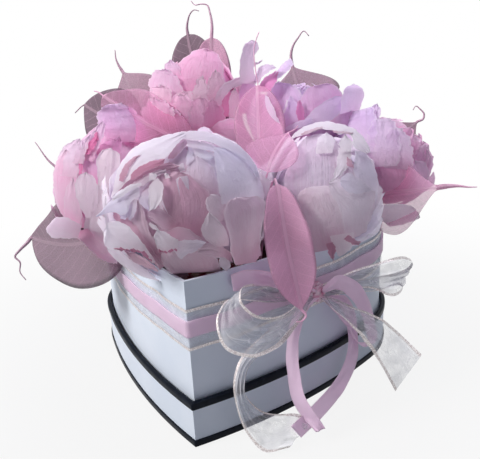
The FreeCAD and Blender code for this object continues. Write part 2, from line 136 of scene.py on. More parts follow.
def mixed(tree, share, first, second):
    """Two shaders mixed by a share from 0 to 1."""
    made = node(tree, "ShaderNodeMixShader")
    for socket, value in zip(made.inputs, (share, first.outputs[0], second.outputs[0])):
        plug(tree, socket, value)
    return made.outputs[0]


def on_object(tree):
    """Object coordinates."""
    return node(tree, "ShaderNodeTexCoord").outputs["Object"]


def ramp(tree, value, low, high, start=0.0, end=1.0):
    """A value moved smoothly from start to end while it goes from low to high."""
    made = node(tree, "ShaderNodeMapRange", {"interpolation_type": "SMOOTHSTEP"}, Value=value)
    for key, number in (("From Min", low), ("From Max", high), ("To Min", start), ("To Max", end)):
        made.inputs[key].default_value = number
    return made.outputs[0]


def white_for_seen(tree):
    """1 for rays from the camera, from gloss and through clear things, otherwise 0."""
    path = node(tree, "ShaderNodeLightPath").outputs
    seen = sums(tree, "MAXIMUM", path["Is Camera Ray"], path["Is Glossy Ray"])
    return sums(tree, "MAXIMUM", seen, path["Is Transmission Ray"])


world = bpy.data.worlds.new("white_surroundings")
bpy.context.scene.world = world
world.use_nodes = True
sky = world.node_tree
sky.nodes.clear()
soft_sky = node(sky, "ShaderNodeBackground", Color=(0.74, 0.83, 1.0, 1), Strength=0.135)
seen_sky = node(sky, "ShaderNodeBackground", Color=(1, 1, 1, 1), Strength=1.0)
both = mixed(sky, white_for_seen(sky), soft_sky, seen_sky)
plug(sky, node(sky, "ShaderNodeOutputWorld").inputs[0], both)


def lamp(name, place, aim, size, watts, colour):
    """A square area lamp at a place, facing a point."""
    data = bpy.data.lights.new(name, "AREA")
    data.shape, data.size, data.energy, data.color = "SQUARE", size, watts, colour
    made = bpy.data.objects.new(name, data)
    away = np.array(place) - np.array(aim)
    side = np.cross([0.0, 0.0, 1.0], away)
    side /= np.linalg.norm(side)
    away /= np.linalg.norm(away)
    matrix = Matrix([[*side], [*np.cross(away, side)], [*away]]).transposed()
    made.matrix_world = Matrix.Translation(place) @ matrix.to_4x4()
    bpy.context.scene.collection.objects.link(made)


lamp("sky_left", (-0.90, -0.58, 1.05), (0, 0, 0.12), size=0.5, watts=21.0, colour=(1.0, 0.98, 0.97))
lamp("sky_above", (0.15, 0.55, 1.35), (0, 0, 0.12), size=1.1, watts=20.0, colour=(0.92, 0.92, 1.0))
lamp("front_fill", (0.85, -1.0, 0.55), (0, 0, 0.1), size=1.0, watts=1.6, colour=(0.86, 0.88, 1.0))

UNDER = -0.0004
floor_mesh = bpy.data.meshes.new("floor")
floor_mesh.from_pydata([(-6, -6, UNDER), (6, -6, UNDER), (6, 8, UNDER), (-6, 8, UNDER)], [], [(0, 1, 2, 3)])
floor = bpy.data.objects.new("floor", floor_mesh)
bpy.context.scene.collection.objects.link(floor)
floor_look = bpy.data.materials.new("pale_floor")
floor_look.use_nodes = True
ground = floor_look.node_tree
ground.nodes.clear()
paper = node(ground, "ShaderNodeBsdfDiffuse", Color=(0.30, 0.30, 0.31, 1))
glow = node(ground, "ShaderNodeEmission", Color=(1, 1, 1, 1), Strength=1.0)
from_middle = node(ground, "ShaderNodeVectorMath", {"operation": "LENGTH"})
plug(ground, from_middle.inputs[0], on_object(ground))
white_share = ramp(ground, from_middle.outputs["Value"], 0.12, 0.40, 0.88, 1.0)
both = mixed(ground, sums(ground, "MULTIPLY", white_for_seen(ground), white_share), paper, glow)
plug(ground, node(ground, "ShaderNodeOutputMaterial").inputs[0], both)
floor_mesh.materials.append(floor_look)
print("lamps and floor are up")

# %% [markdown]
# ## From grids to meshes
# Every soft piece below is one or more grids of points. A grid's faces are the same little squares every time, so
# one helper numbers them and another puts points, faces, a cloth-like UV map and a paint attribute into one mesh.
# The attribute called shade carries, for every point, three shares that the finishes read.

# %% Grid helpers


def unit(vectors):
    """Vectors shortened or stretched to length 1."""
    return vectors / np.linalg.norm(vectors, axis=-1, keepdims=True)


def together(*parts):
    """Arrays stretched to one shape and stacked, as the coordinates of points."""
    return np.stack(np.broadcast_arrays(*parts), axis=-1)


def distance_along(line):
    """How far along a line of points each of them is."""
    return np.concatenate([[0.0], np.cumsum(np.linalg.norm(np.diff(line, axis=0), axis=1))])


def grid_faces(rows, columns, closed=False, ring=False):
    """Squares of a grid, row by row. A closed grid joins its last column to its first, a ring its last row."""
    row = np.arange(rows if ring else rows - 1)[:, None]
    column = np.arange(columns if closed else columns - 1)[None, :]
    below, after = (row + 1) % rows * columns, (column + 1) % columns
    corners = (row * columns + column, below + column, below + after, row * columns + after)
    return together(*corners).reshape(-1, 4)


def patch(points, uv, shade=(0.0, 0.0, 0.0), closed=False, caps=False, ring=False):
    """A grid of points, its UV and its three shares of paint. A joined direction has one more UV than points."""
    paint = np.ones((*points.shape[:2], 4))
    for channel in range(3):
        paint[..., channel] = shade[channel]
    return {"points": points, "uv": uv, "paint": paint, "closed": closed, "caps": caps, "ring": ring}


def make_piece(name, patches, finish, body, nodes, thick=0.0):
    """One object from grids: points, faces and loops are stacked, and capped tubes get one flat face at each end."""
    corners, faces, loop_uv, paint, first = [], [], [], [], 0
    for grid in patches:
        rows, columns = grid["points"].shape[:2]
        corners.append(grid["points"].reshape(-1, 3))
        paint.append(grid["paint"].reshape(-1, 4))
        faces += (grid_faces(rows, columns, grid["closed"], grid["ring"]) + first).tolist()
        squares = grid_faces(*grid["uv"].shape[:2])
        loop_uv.append(grid["uv"].reshape(-1, 2)[squares.ravel()])
        if grid["caps"]:
            circle = np.arange(columns)
            faces += [(circle + first).tolist(), (circle[::-1] + first + (rows - 1) * columns).tolist()]
            loop_uv += [grid["uv"][0, :columns], grid["uv"][-1, :columns][::-1]]
        first += rows * columns
    mesh = bpy.data.meshes.new(name)
    mesh.from_pydata(np.concatenate(corners).tolist(), [], faces)
    mesh.uv_layers.new(name="cut").data.foreach_set("uv", np.concatenate(loop_uv).ravel())
    attribute = mesh.attributes.new("shade", "FLOAT_COLOR", "POINT")
    attribute.data.foreach_set("color", np.concatenate(paint).ravel())
    mesh.polygons.foreach_set("use_smooth", np.ones(len(mesh.polygons), bool))
    mesh.materials.append(finish)
    mesh.update()
    piece = bpy.data.objects.new(name, mesh)
    bpy.context.scene.collection.objects.link(piece)
    if thick:
        solid = piece.modifiers.new("thickness", "SOLIDIFY")
        solid.thickness, solid.offset = thick, 0.0
    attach(piece, body)
    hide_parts(*nodes)
    return piece


print("grid helpers are ready")

# %% [markdown]
# ## White card
# The box and its lid are grey board wrapped in smooth white paper. The paper is given a little blue, which paints
# the cool light of the sky. The CAD solids already have the right shape, so they only get a finish: a faint cloudy
# tone, fine paper grain as a small bump, and a soft satin gloss that changes slightly from place to place.

# %% Card finish


def new_finish(name, **plain):
    """A Principled finish. Values that are the same all over go on the shader's own sockets."""
    look = bpy.data.materials.new(name)
    look.use_nodes = True
    shader = look.node_tree.nodes["Principled BSDF"]
    for key, value in plain.items():
        shader.inputs[key.replace("_", " ")].default_value = value
    return look, look.node_tree, shader


def cloudy(tree, scale, detail=3.0, vector=None):
    """Soft noise from 0 to 1 on Object coordinates, or on a given vector."""
    return node(tree, "ShaderNodeTexNoise", Vector=vector or on_object(tree), Scale=scale, Detail=detail).outputs[0]


def cut_uv(tree):
    """The cloth-like UV map of the grids."""
    return node(tree, "ShaderNodeUVMap", {"uv_map": "cut"}).outputs[0]


def shares(tree):
    """The three shares of the shade attribute, called Red, Green and Blue."""
    paint = node(tree, "ShaderNodeAttribute", {"attribute_name": "shade"}).outputs["Color"]
    return node(tree, "ShaderNodeSeparateColor", Color=paint).outputs


def bumped(tree, shader, height, depth, strength):
    """A Bump node from a height to the shader's Normal."""
    made = node(tree, "ShaderNodeBump", Height=height, Distance=depth, Strength=strength)
    plug(tree, shader.inputs["Normal"], made.outputs[0])


def dress(part, look):
    """One finish for a whole CAD part."""
    part.data.materials.clear()
    part.data.materials.append(look)


card, tree, shader = new_finish("white_card", Specular_IOR_Level=0.35)
tone = ramp(tree, cloudy(tree, 26.0), 0.3, 0.7)
# The blue in both card colours paints the cool skylight; the paper itself is white.
plug(tree, shader.inputs["Base Color"], blend(tree, tone, (0.70, 0.77, 0.87, 1), (0.76, 0.82, 0.91, 1)))
plug(tree, shader.inputs["Roughness"], ramp(tree, cloudy(tree, 60.0), 0.25, 0.75, 0.36, 0.5))
bumped(tree, shader, cloudy(tree, 2400.0, 5.0), 0.0002, 0.25)
for name in ("box_wall", "box_bottom", "lid_wall", "lid_panel"):
    dress(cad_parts[name], card)
print("card finish on four CAD parts")

# %% [markdown]
# ## The heart outline
# The box, the lid, the edging and the ribbons all follow one outline: two lobe arcs and two long side arcs that
# meet at the point. Moving it outwards only makes the arcs' radii larger, and they still meet on the middle line,
# so one function gives the loop at any distance from the wall, with neat mitres at the point and the notch.

# %% Heart outline
LOBE_X, LOBE_Y, LOBE_RADIUS = 0.044, 0.0375, 0.056
SIDE_X, SIDE_Y = 0.215, 0.1915
SIDE_RADIUS = LOBE_RADIUS + math.hypot(LOBE_X + SIDE_X, SIDE_Y - LOBE_Y)


def heart_loop(offset, steps=96):
    """Points round the heart, anticlockwise from the notch, for an array of outward offsets.

    Each arc is centre plus radius times (cos, sin). The lobe starts where x is 0, changes to the long side on the
    line through both centres, and the side ends where x is 0 again. The other half is the mirror image.
    """
    offset = np.atleast_1d(np.asarray(offset, float))[None, :]
    share = np.linspace(0.0, 1.0, steps + 1)[:, None]
    lobe, side = LOBE_RADIUS + offset, SIDE_RADIUS + offset
    meet = math.pi + math.atan2(SIDE_Y - LOBE_Y, LOBE_X + SIDE_X)
    first = np.arccos(LOBE_X / lobe)
    last = 2 * math.pi - np.arccos(-SIDE_X / side)
    a = first + (meet - first) * share
    b = meet + (last - meet) * share[1:]
    x = np.concatenate([lobe * np.cos(a) - LOBE_X, side * np.cos(b) + SIDE_X])
    y = np.concatenate([lobe * np.sin(a) + LOBE_Y, side * np.sin(b) + SIDE_Y])
    half = np.stack([x, y], axis=-1)
    mirror = half[::-1][1:-1] * [-1.0, 1.0]
    return np.concatenate([half, mirror])


def heart_sweep(profile, steps):
    """A closed profile of (offset, height) points carried round the heart, as a grid joined in both directions."""
    loop = heart_loop(profile[:, 0], steps).transpose(1, 0, 2)
    height = np.broadcast_to(profile[:, 1][:, None, None], (*loop.shape[:2], 1))
    points = np.concatenate([loop, height], axis=-1)
    u = np.linspace(0.0, 1.0, points.shape[1] + 1)[None, :]
    v = np.linspace(0.0, 1.0, len(profile) + 1)[:, None]
    return patch(points, together(u, v), closed=True, ring=True)


print("heart is", round(2 * float(heart_loop(0.0)[:, 0, 0].max()), 4), "m wide")

# %% [markdown]
# ## Black edging
# A black paper tape is folded over the lid's rim, and another one runs round its foot. In the CAD they are square
# bands. A real folded tape has round edges that catch a thin line of light, so here a superellipse, a rounded
# rectangle in one formula, is carried round the heart.

# %% Black edging
tape, tree, shader = new_finish("black_edging", Specular_IOR_Level=0.07)
scuff = ramp(tree, cloudy(tree, 300.0, 4.0), 0.45, 0.8)
plug(tree, shader.inputs["Base Color"], blend(tree, scuff, (0.004, 0.006, 0.012, 1), (0.012, 0.016, 0.026, 1)))
plug(tree, shader.inputs["Roughness"], ramp(tree, cloudy(tree, 90.0), 0.3, 0.7, 0.3, 0.46))
bumped(tree, shader, cloudy(tree, 1500.0, 4.0), 0.0002, 0.2)


def edging(name, middle, half, node_name):
    """A rounded band: the fourth-power circle |x|^4 + |z|^4 = 1, stretched, centred on (offset, height) and swept."""
    angle = np.linspace(0.0, -2 * math.pi, 28, endpoint=False)
    cosine, sine = np.cos(angle), np.sin(angle)
    size = (cosine**4 + sine**4) ** -0.25
    profile = np.stack([middle[0] + half[0] * size * cosine, middle[1] + half[1] * size * sine], axis=-1)
    return make_piece(name, [heart_sweep(profile, 120)], tape, "lid", [node_name])


rim_tape = edging("rim_tape", (0.0028, 0.0271), (0.00155, 0.0025), "lid_rim_trim")
foot_tape = edging("foot_tape", (0.0037, 0.0022), (0.0007, 0.0022), "lid_base_trim")
print("edging:", rim_tape.name, foot_tape.name)

# %% [markdown]
# ## Ribbon finishes
# The wide ribbon is sheer organza: thin crossing threads, mostly gaps, with a metallic thread along both edges.
# The narrow one is pale pink satin, dense and smooth with a long soft highlight. Both need the same thing, threads
# that follow the cloth, so one node group makes them from the UV map, in which u goes across the ribbon and v
# counts ribbon widths along it.

# %% Ribbon finishes


def weave_group():
    """Thread height, the higher of two sines along u and v, and a mask that is 1 along both edges of the ribbon."""
    tree = bpy.data.node_groups.new("ribbon_threads", "ShaderNodeTree")
    for name in ("Threads", "Edge"):
        tree.interface.new_socket(name=name, in_out="INPUT", socket_type="NodeSocketFloat")
    for name in ("Height", "Selvedge"):
        tree.interface.new_socket(name=name, in_out="OUTPUT", socket_type="NodeSocketFloat")
    enter, leave = tree.nodes.new("NodeGroupInput"), tree.nodes.new("NodeGroupOutput")
    uv = node(tree, "ShaderNodeSeparateXYZ", Vector=cut_uv(tree))
    waves = []
    for side in ("X", "Y"):
        angle = sums(tree, "MULTIPLY", uv.outputs[side], enter.outputs["Threads"])
        waves.append(sums(tree, "MULTIPLY_ADD", sums(tree, "SINE", angle), 0.5, 0.5))
    plug(tree, leave.inputs["Height"], sums(tree, "MAXIMUM", *waves))
    off_middle = sums(tree, "ABSOLUTE", sums(tree, "SUBTRACT", uv.outputs["X"], 0.5))
    beyond = sums(tree, "SUBTRACT", off_middle, sums(tree, "SUBTRACT", 0.5, enter.outputs["Edge"]))
    plug(tree, leave.inputs["Selvedge"], ramp(tree, beyond, -0.008, 0.008))
    return tree


def use_group(tree, group, **inputs):
    """A node group placed in a material, with its own values."""
    made = tree.nodes.new("ShaderNodeGroup")
    made.node_tree = group
    for key, value in inputs.items():
        plug(tree, made.inputs[key], value)
    return made.outputs


def let_through(tree, shader, colour, share):
    """Lets a share of the light through a thin sheet: a translucent shader mixed with the surface."""
    through = node(tree, "ShaderNodeBsdfTranslucent", Color=colour)
    plug(tree, tree.nodes["Material Output"].inputs["Surface"], mixed(tree, share, shader, through))


threads = weave_group()

organza, tree, shader = new_finish("organza", Specular_IOR_Level=0.6, Sheen_Weight=0.3)
cloth = use_group(tree, threads, Threads=330.0, Edge=0.075)
glint = blend(tree, ramp(tree, cloudy(tree, 1300.0, 4.0), 0.4, 0.62), (0.58, 0.50, 0.49, 1), (0.97, 0.92, 0.90, 1))
drawn = node(tree, "ShaderNodeMapping", Vector=cut_uv(tree), Scale=(5.0, 1.2, 1.0)).outputs[0]
cells = node(tree, "ShaderNodeTexVoronoi", {"feature": "DISTANCE_TO_EDGE"}, Vector=drawn, Scale=1.0)
# Crease lines: more opaque where the cloth folds, and whiter along them as a painted highlight.
crease_and_highlight = ramp(tree, cells.outputs["Distance"], 0.0, 0.06, 0.55, 0.0)
# The organza's colour with the painted highlight on the crease lines.
plain = blend(tree, crease_and_highlight, (0.82, 0.82, 0.87, 1), (0.98, 0.97, 0.99, 1))
plug(tree, shader.inputs["Base Color"], blend(tree, cloth["Selvedge"], plain, glint))
gauze = sums(tree, "MULTIPLY_ADD", cloth["Height"], 0.16, 0.16)
gauze = sums(tree, "MULTIPLY_ADD", ramp(tree, cloudy(tree, 110.0, 4.0), 0.35, 0.7), 0.26, gauze)
gauze = sums(tree, "MAXIMUM", gauze, crease_and_highlight)
plug(tree, shader.inputs["Alpha"], sums(tree, "MAXIMUM", gauze, sums(tree, "MULTIPLY", cloth["Selvedge"], 0.92)))
plug(tree, shader.inputs["Metallic"], sums(tree, "MULTIPLY", cloth["Selvedge"], 0.35))
plug(tree, shader.inputs["Roughness"], ramp(tree, cloudy(tree, 900.0), 0.3, 0.7, 0.28, 0.5))
bumped(tree, shader, cloth["Height"], 0.0003, 0.3)

satin, tree, shader = new_finish("satin", Specular_IOR_Level=0.55, Sheen_Weight=0.25, Anisotropic=0.5)
cloth = use_group(tree, threads, Threads=260.0, Edge=0.03)
sheen = ramp(tree, cloudy(tree, 45.0), 0.3, 0.7)
body_colour = blend(tree, sheen, (0.90, 0.74, 0.86, 1), (0.96, 0.82, 0.92, 1))
plug(tree, shader.inputs["Base Color"], blend(tree, cloth["Selvedge"], body_colour, (0.95, 0.82, 0.89, 1)))
plug(tree, shader.inputs["Roughness"], ramp(tree, cloth["Height"], 0.0, 1.0, 0.42, 0.3))
bumped(tree, shader, cloth["Height"], 0.0002, 0.25)
let_through(tree, shader, (0.95, 0.80, 0.93, 1), 0.45)
print("finishes:", organza.name, satin.name)

# %% [markdown]
# ## Ribbons round the wall
# Both ribbons are pulled round the box, so they lie on the wall with only small waves where the cloth isn't quite
# tight. A cloth simulation would give the same at far more cost: here the heart loop is pushed out by the ribbon's
# thickness plus a few sines, and its edges wander up and down by less than a millimetre.

# %% Ribbon bands


def band(low, high, stand, wave):
    """A ribbon round the heart: loop plus outward normal times (stand + waves), from the high edge to the low one."""
    steps, rows = 150, 13
    loop = heart_loop(0.0, steps)[:, 0]
    tangent = unit(np.roll(loop, -1, axis=0) - np.roll(loop, 1, axis=0))
    outward = np.stack([tangent[:, 1], -tangent[:, 0]], axis=-1)
    pace = np.linalg.norm(np.roll(loop, -1, axis=0) - loop, axis=1)
    along = np.concatenate([[0.0], np.cumsum(pace)])
    turn = 2 * math.pi * along[:-1] / along[-1]
    across = np.linspace(1.0, -1.0, rows)[:, None]
    ripple = np.sin(19 * turn + 2.0 * across) + 0.7 * np.sin(31 * turn + 1.0 - 3.0 * across)
    push = stand + wave * (1.0 + 0.55 * ripple)
    edge = 0.0005 * (np.sin(7 * turn + 0.6) + 0.6 * np.sin(16 * turn))
    height = (low + high) / 2 + (high - low) / 2 * across + edge[None, :]
    points = np.empty((rows, len(loop), 3))
    points[..., :2] = loop[None] + outward[None] * push[..., None]
    points[..., 2] = height
    u = np.broadcast_to(np.linspace(0.0, 1.0, rows)[:, None], (rows, len(along)))
    v = np.broadcast_to(along[None, :] / (high - low), u.shape)
    return patch(points, np.stack([u, v], axis=-1), closed=True), along[-1]


grid, round_box = band(low=0.061, high=0.086, stand=0.0003, wave=0.0003)
organza_wrap = make_piece("organza_wrap", [grid], organza, "box", ["organza_band"])
grid, round_box = band(low=0.0695, high=0.0795, stand=0.0012, wave=0.0002)
satin_wrap = make_piece("satin_wrap", [grid], satin, "box", ["satin_band"], thick=0.00025)
print("ribbon round the box:", round(round_box, 3), "m")

# %% [markdown]
# ## The knot
# Where the ribbons are tied they bunch up into a small pink knot, its finish pale pink with soft deep pink patches
# that paint the shade of its folds. It is a closed lump, longer along the wall than out from it. Its radius swells
# in the middle like a circle and has folds that run from end to end and twist a little, because the cloth in a knot
# is always twisted.

# %% Bow knot
KNOT = np.array([0.0616, -0.0346, 0.071])
SIDE_MIDDLE = np.array([-SIDE_X, SIDE_Y])
WALL_OUT = unit(KNOT[:2] - SIDE_MIDDLE)
OUT = np.array([WALL_OUT[0], WALL_OUT[1], 0.0])
ALONG = np.array([-WALL_OUT[1], WALL_OUT[0], 0.0])
RISE = np.array([0.0, 0.0, 1.0])
REACH = float(np.linalg.norm(KNOT[:2] - SIDE_MIDDLE))


def bow_point(spot):
    """Points given as (along the wall, out from it, up), with the wall's slight curve taken off the outward part."""
    along, out, up = spot[..., 0:1], spot[..., 1:2], spot[..., 2:3]
    sagitta = REACH - np.sqrt(REACH**2 - along**2)
    return KNOT + ALONG * along + OUT * (out - sagitta) + RISE * up


knot_pink, tree, shader = new_finish("knot_satin", Specular_IOR_Level=0.5, Sheen_Weight=0.3)
# Deep pink patches mixed into the pale pink: painted shade of the knot's folds.
fold = ramp(tree, cloudy(tree, 260.0), 0.35, 0.65)
plug(tree, shader.inputs["Base Color"], blend(tree, fold, (0.62, 0.20, 0.36, 1), (0.88, 0.66, 0.76, 1)))
plug(tree, shader.inputs["Roughness"], ramp(tree, cloudy(tree, 700.0), 0.3, 0.7, 0.3, 0.5))
bumped(tree, shader, cloudy(tree, 500.0), 0.0005, 0.4)

LUMP_MIDDLE, LUMP_HALF = np.array([(-0.0065, 0.0066, 0.0035), (0.0066, 0.0048, 0.0058)])
LUMP_ROWS, LUMP_COLUMNS = 27, 72
t = np.linspace(0.02, 0.98, LUMP_ROWS)[:, None]
angle = np.linspace(0.0, 2 * math.pi, LUMP_COLUMNS, endpoint=False)[None, :]
swell = np.sqrt(1.0 - (2 * t - 1.0) ** 2)
folds = 1.0 + 0.10 * np.sin(7 * angle + 5 * t) + 0.07 * np.sin(12 * angle - 9 * t + 1.0)
lump = together(2 * t - 1.0, swell * folds * np.cos(angle), swell * folds * np.sin(angle))
lump = LUMP_MIDDLE + LUMP_HALF * lump
uv = together(np.linspace(0, 1, LUMP_COLUMNS + 1)[None, :], t)
grid = patch(bow_point(lump), uv, closed=True, caps=True)
knot = make_piece("tied_knot", [grid], knot_pink, "box", ["bow_knot"])
print("knot:", knot.name)

# %% [markdown]
# ## Loops and tails of the bow
# Each loop or tail is a strip of ribbon. Its route is written as the two edges of the strip at a handful of
# stations, in millimetres along the wall, out from it and up from the knot. A smooth curve goes through the
# stations of each edge. Between the edges the cloth lies in pleats: where the strip is drawn narrower than the
# ribbon was cut, the missing width goes into a sine across it, which is just what gathering does to real ribbon.

# %% Bow routes
BOW = {
    "organza_loop_left": [
        ((-9, 8, 6), (-9, 8, 2)), ((-20, 11, 6), (-18, 12, -1)), ((-32, 14, 4), (-29, 16, -6)),
        ((-51, 18, 7), (-50, 22, -11)), ((-61, 19, 14), (-68, 26, -8)), ((-64, 16, 21), (-79, 22, 0)),
        ((-60, 12, 24), (-77, 14, 11)), ((-51, 8, 22), (-68, 9, 17)), ((-40, 4, 18), (-50, 5, 11)),
        ((-26, 3, 11), (-32, 3, 3)), ((-9, 4, 6), (-10, 4, 1)),
    ],
    "organza_loop_right": [
        ((-5, 8, 6), (-5, 8, 2)), ((13, 14, 11), (15, 15, 1)), ((28, 21, 14), (27, 24, -1)),
        ((40, 27, 16), (30, 33, -3)), ((57, 27, 11), (42, 33, -6)), ((73, 23, -1), (53, 28, -8)),
        ((75, 17, -9), (59, 20, -12)), ((61, 10, -9), (54, 12, -16)), ((38, 6, -5), (37, 7, -13)),
        ((12, 4, 0), (13, 4, -6)), ((-5, 4, 5), (-5, 4, 2)),
    ],
    "organza_tail_left": [
        ((-10, 6, 2), (-7, 6, -1)), ((-34, 8, -6), (-31, 9, -12)), ((-52, 10, -12), (-50, 12, -18)),
        ((-65, 13, -19), (-61, 15, -24)), ((-72, 18, -30), (-67, 20, -33)), ((-73, 22, -44), (-64, 24, -42)),
        ((-69, 25, -60), (-54, 26, -50)), ((-64, 31, -68), (-41, 28, -54)), ((-52, 35, -68), (-33, 31, -61)),
    ],
    "organza_tail_right": [
        ((-5, 10, 4), (-6, 10, 1)), ((3, 25, -2), (-3, 26, -8)), ((24, 33, -16), (6, 35, -23)),
        ((38, 40, -32), (14, 40, -39)), ((42, 51, -41), (25, 44, -62)),
    ],
    "satin_loop_left": [
        ((-9, 10, 7), (-9, 10, 3)), ((-26, 8, 19), (-26, 8, 10)), ((-42, 6, 28), (-42, 6, 19)),
        ((-53, 5, 31), (-52, 5, 21)), ((-61, 4, 30), (-60, 4, 20)), ((-55, 2, 28), (-54, 2, 18)),
    ],
    "satin_loop_right": [
        ((-5, 11, 7), (-5, 11, 3)), ((2, 17, 15), (3, 17, 5)), ((13, 20, 9), (7, 20, 1)),
        ((23, 22, -5), (14, 22, -9)), ((31, 22, -25), (21, 22, -24)), ((34, 21, -42), (24, 21, -37)),
        ((32, 15, -47), (24, 15, -40)), ((20, 12, -30), (14, 12, -23)), ((-4, 9, 3), (-5, 9, 1)),
    ],
    "satin_tail_left": [
        ((-10, 9, 3), (-6, 10, 1)), ((-22, 10, 0), (-16, 12, -2)), ((-32, 11, -11), (-29, 18, -9)),
        ((-37, 15, -22), (-35, 23, -18)), ((-39, 19, -35), (-37, 27, -30)), ((-40, 24, -48), (-38, 32, -42)),
        ((-37, 30, -59), (-35, 37, -52)), ((-36, 38, -63), (-31, 40, -62)),
    ],
    "satin_tail_right": [
        ((-4, 8, 2), (-4, 8, -1)), ((14, 8, -14), (20, 8, -9)), ((21, 8, -32), (30, 8, -29)),
        ((13, 14, -46), (22, 16, -50)), ((-5, 20, -53), (1, 23, -60)), ((-26, 26, -55), (-20, 29, -63)),
        ((-48, 32, -57), (-43, 34, -66)),
    ],
}
print("strips in the bow:", len(BOW))

# %% Bow strips


def smooth_route(stations, pace, count):
    """Points on a curve through stations: cubic pieces whose slope at a station is that of its two neighbours."""
    slope = np.gradient(stations, pace, axis=0)
    where = np.linspace(pace[0], pace[-1], count)
    left = np.clip(np.searchsorted(pace, where, side="right") - 1, 0, len(pace) - 2)
    span = (pace[left + 1] - pace[left])[:, None]
    t = (where[:, None] - pace[left][:, None]) / span
    return (
        stations[left] * (2 * t**3 - 3 * t**2 + 1)
        + slope[left] * span * (t**3 - 2 * t**2 + t)
        + stations[left + 1] * (3 * t**2 - 2 * t**3)
        + slope[left + 1] * span * (t**3 - t**2)
    )


BOW_STEP = 0.0012


def bow_strip(stations, wide, waves, most, phase, columns):
    """A ribbon strip as a grid, and its length.

    Rows follow the route and columns go straight from edge to edge. A sine across the strip, of the given number of
    waves, stands up along the strip's normal. Its height is what the missing width needs, up to a limit.
    """
    edges = bow_point(np.array(stations, float) / 1000.0)
    middle = edges.mean(axis=1)
    pace = distance_along(middle)
    count = int(pace[-1] / BOW_STEP) + 8
    near = smooth_route(edges[:, 0], pace, count)
    far = smooth_route(edges[:, 1], pace, count)
    chord = np.linalg.norm(far - near, axis=1)[:, None]
    travel = np.gradient((near + far) / 2, axis=0)
    normal = unit(np.cross(travel, far - near))
    missing = np.sqrt(np.clip((wide / chord) ** 2 - 1.0, 0.0, None))
    rise = np.minimum(chord * math.sqrt(2) * missing / (2 * math.pi * waves), most)
    q = np.linspace(0.0, 1.0, columns)[None, :]
    s = np.linspace(0.0, 1.0, count)[:, None]
    wave = np.sin(2 * math.pi * waves * q + phase + 2.5 * s) + 0.3 * np.sin(11 * s * math.pi + 4 * q + phase)
    wave = wave + 0.35 * np.sin(2 * math.pi * 2.3 * waves * q + 9 * s + 2 * phase)
    points = near[:, None] + (far - near)[:, None] * q[..., None]
    points = points + normal[:, None] * (rise * wave)[..., None]
    along = distance_along((near + far) / 2)
    return patch(points, together(q, along[:, None] / wide)), float(along[-1])


SATIN_THICK = 0.00022
for order, (name, stations) in enumerate(BOW.items()):
    sheer = name.startswith("organza")
    wide = 0.025 if sheer else 0.010
    pleats = dict(waves=3.0, most=0.0015, columns=37) if sheer else dict(waves=1.0, most=0.0009, columns=15)
    grid, length = bow_strip(stations, wide, phase=1.7 * order, **pleats)
    look, slot = (organza, "organza") if sheer else (satin, "satin")
    ribbon = make_piece(f"tied_{name}", [grid], look, "box", [name], thick=0.0 if sheer else SATIN_THICK)
    print(ribbon.name, round(length * 1000), "mm long")

# %% [markdown]
# ## Petal finish
# Peony petals are thin, a little translucent and streaked from base to rim. Pale ones are almost white, others go
# through pink to lilac, and all of them are deepest where they grow out of the flower, partly their own colour and
# partly painted shade where the petals crowd together. The mesh says per point how pink, how lilac and how near the
# rim it is, and one group turns that into colour and a fine ribbed height; the rim is painted paler, partly the
# petal's own edge and partly a painted highlight. Light that comes through from behind is a translucent shader
# mixed in.

# %% Petal finish


def streak_group():
    """Petal colour and height: noise drawn out along the petal, mixed by the shade attribute and the way along it."""
    tree = bpy.data.node_groups.new("petal_streaks", "ShaderNodeTree")
    for name in ("Pale", "Pink", "Lilac", "Deep", "Rim"):
        tree.interface.new_socket(name=name, in_out="INPUT", socket_type="NodeSocketColor")
    tree.interface.new_socket(name="Color", in_out="OUTPUT", socket_type="NodeSocketColor")
    tree.interface.new_socket(name="Height", in_out="OUTPUT", socket_type="NodeSocketFloat")
    enter, leave = tree.nodes.new("NodeGroupInput"), tree.nodes.new("NodeGroupOutput")
    uv = cut_uv(tree)
    along = node(tree, "ShaderNodeSeparateXYZ", Vector=uv).outputs["Y"]
    share = shares(tree)
    drawn = node(tree, "ShaderNodeMapping", Vector=uv, Scale=(64.0, 2.6, 1.0)).outputs[0]
    streak = cloudy(tree, 1.0, 4.0, drawn)
    cloud = cloudy(tree, 55.0, 3.0)
    pinkness = sums(tree, "MULTIPLY_ADD", sums(tree, "SUBTRACT", streak, 0.5), 0.4, share["Red"])
    pinkness = sums(tree, "MULTIPLY_ADD", sums(tree, "SUBTRACT", cloud, 0.5), 0.4, pinkness)
    colour = blend(tree, ramp(tree, pinkness, 0.0, 1.0), enter.outputs["Pale"], enter.outputs["Pink"])
    colour = blend(tree, share["Green"], colour, enter.outputs["Lilac"])
    # Deeper colour near the base: partly the petal's own, partly painted shade where the petals crowd together.
    near_base, how_deep = ramp(tree, along, 0.0, 0.5, 1.0, 0.0), ramp(tree, share["Red"], 0.0, 0.8, 0.05, 0.3)
    base = sums(tree, "MULTIPLY", near_base, how_deep)
    deepest = sums(tree, "MAXIMUM", base, ramp(tree, pinkness, 1.0, 2.0))
    colour = blend(tree, deepest, colour, enter.outputs["Deep"])
    # Paler rim: partly the petal's own paler edge, partly a painted highlight along it.
    colour = blend(tree, sums(tree, "MULTIPLY", share["Blue"], 0.4), colour, enter.outputs["Rim"])
    plug(tree, leave.inputs["Color"], colour)
    plug(tree, leave.inputs["Height"], sums(tree, "MULTIPLY_ADD", cloudy(tree, 240.0, 3.0), 1.4, streak))
    return tree


streaks = streak_group()


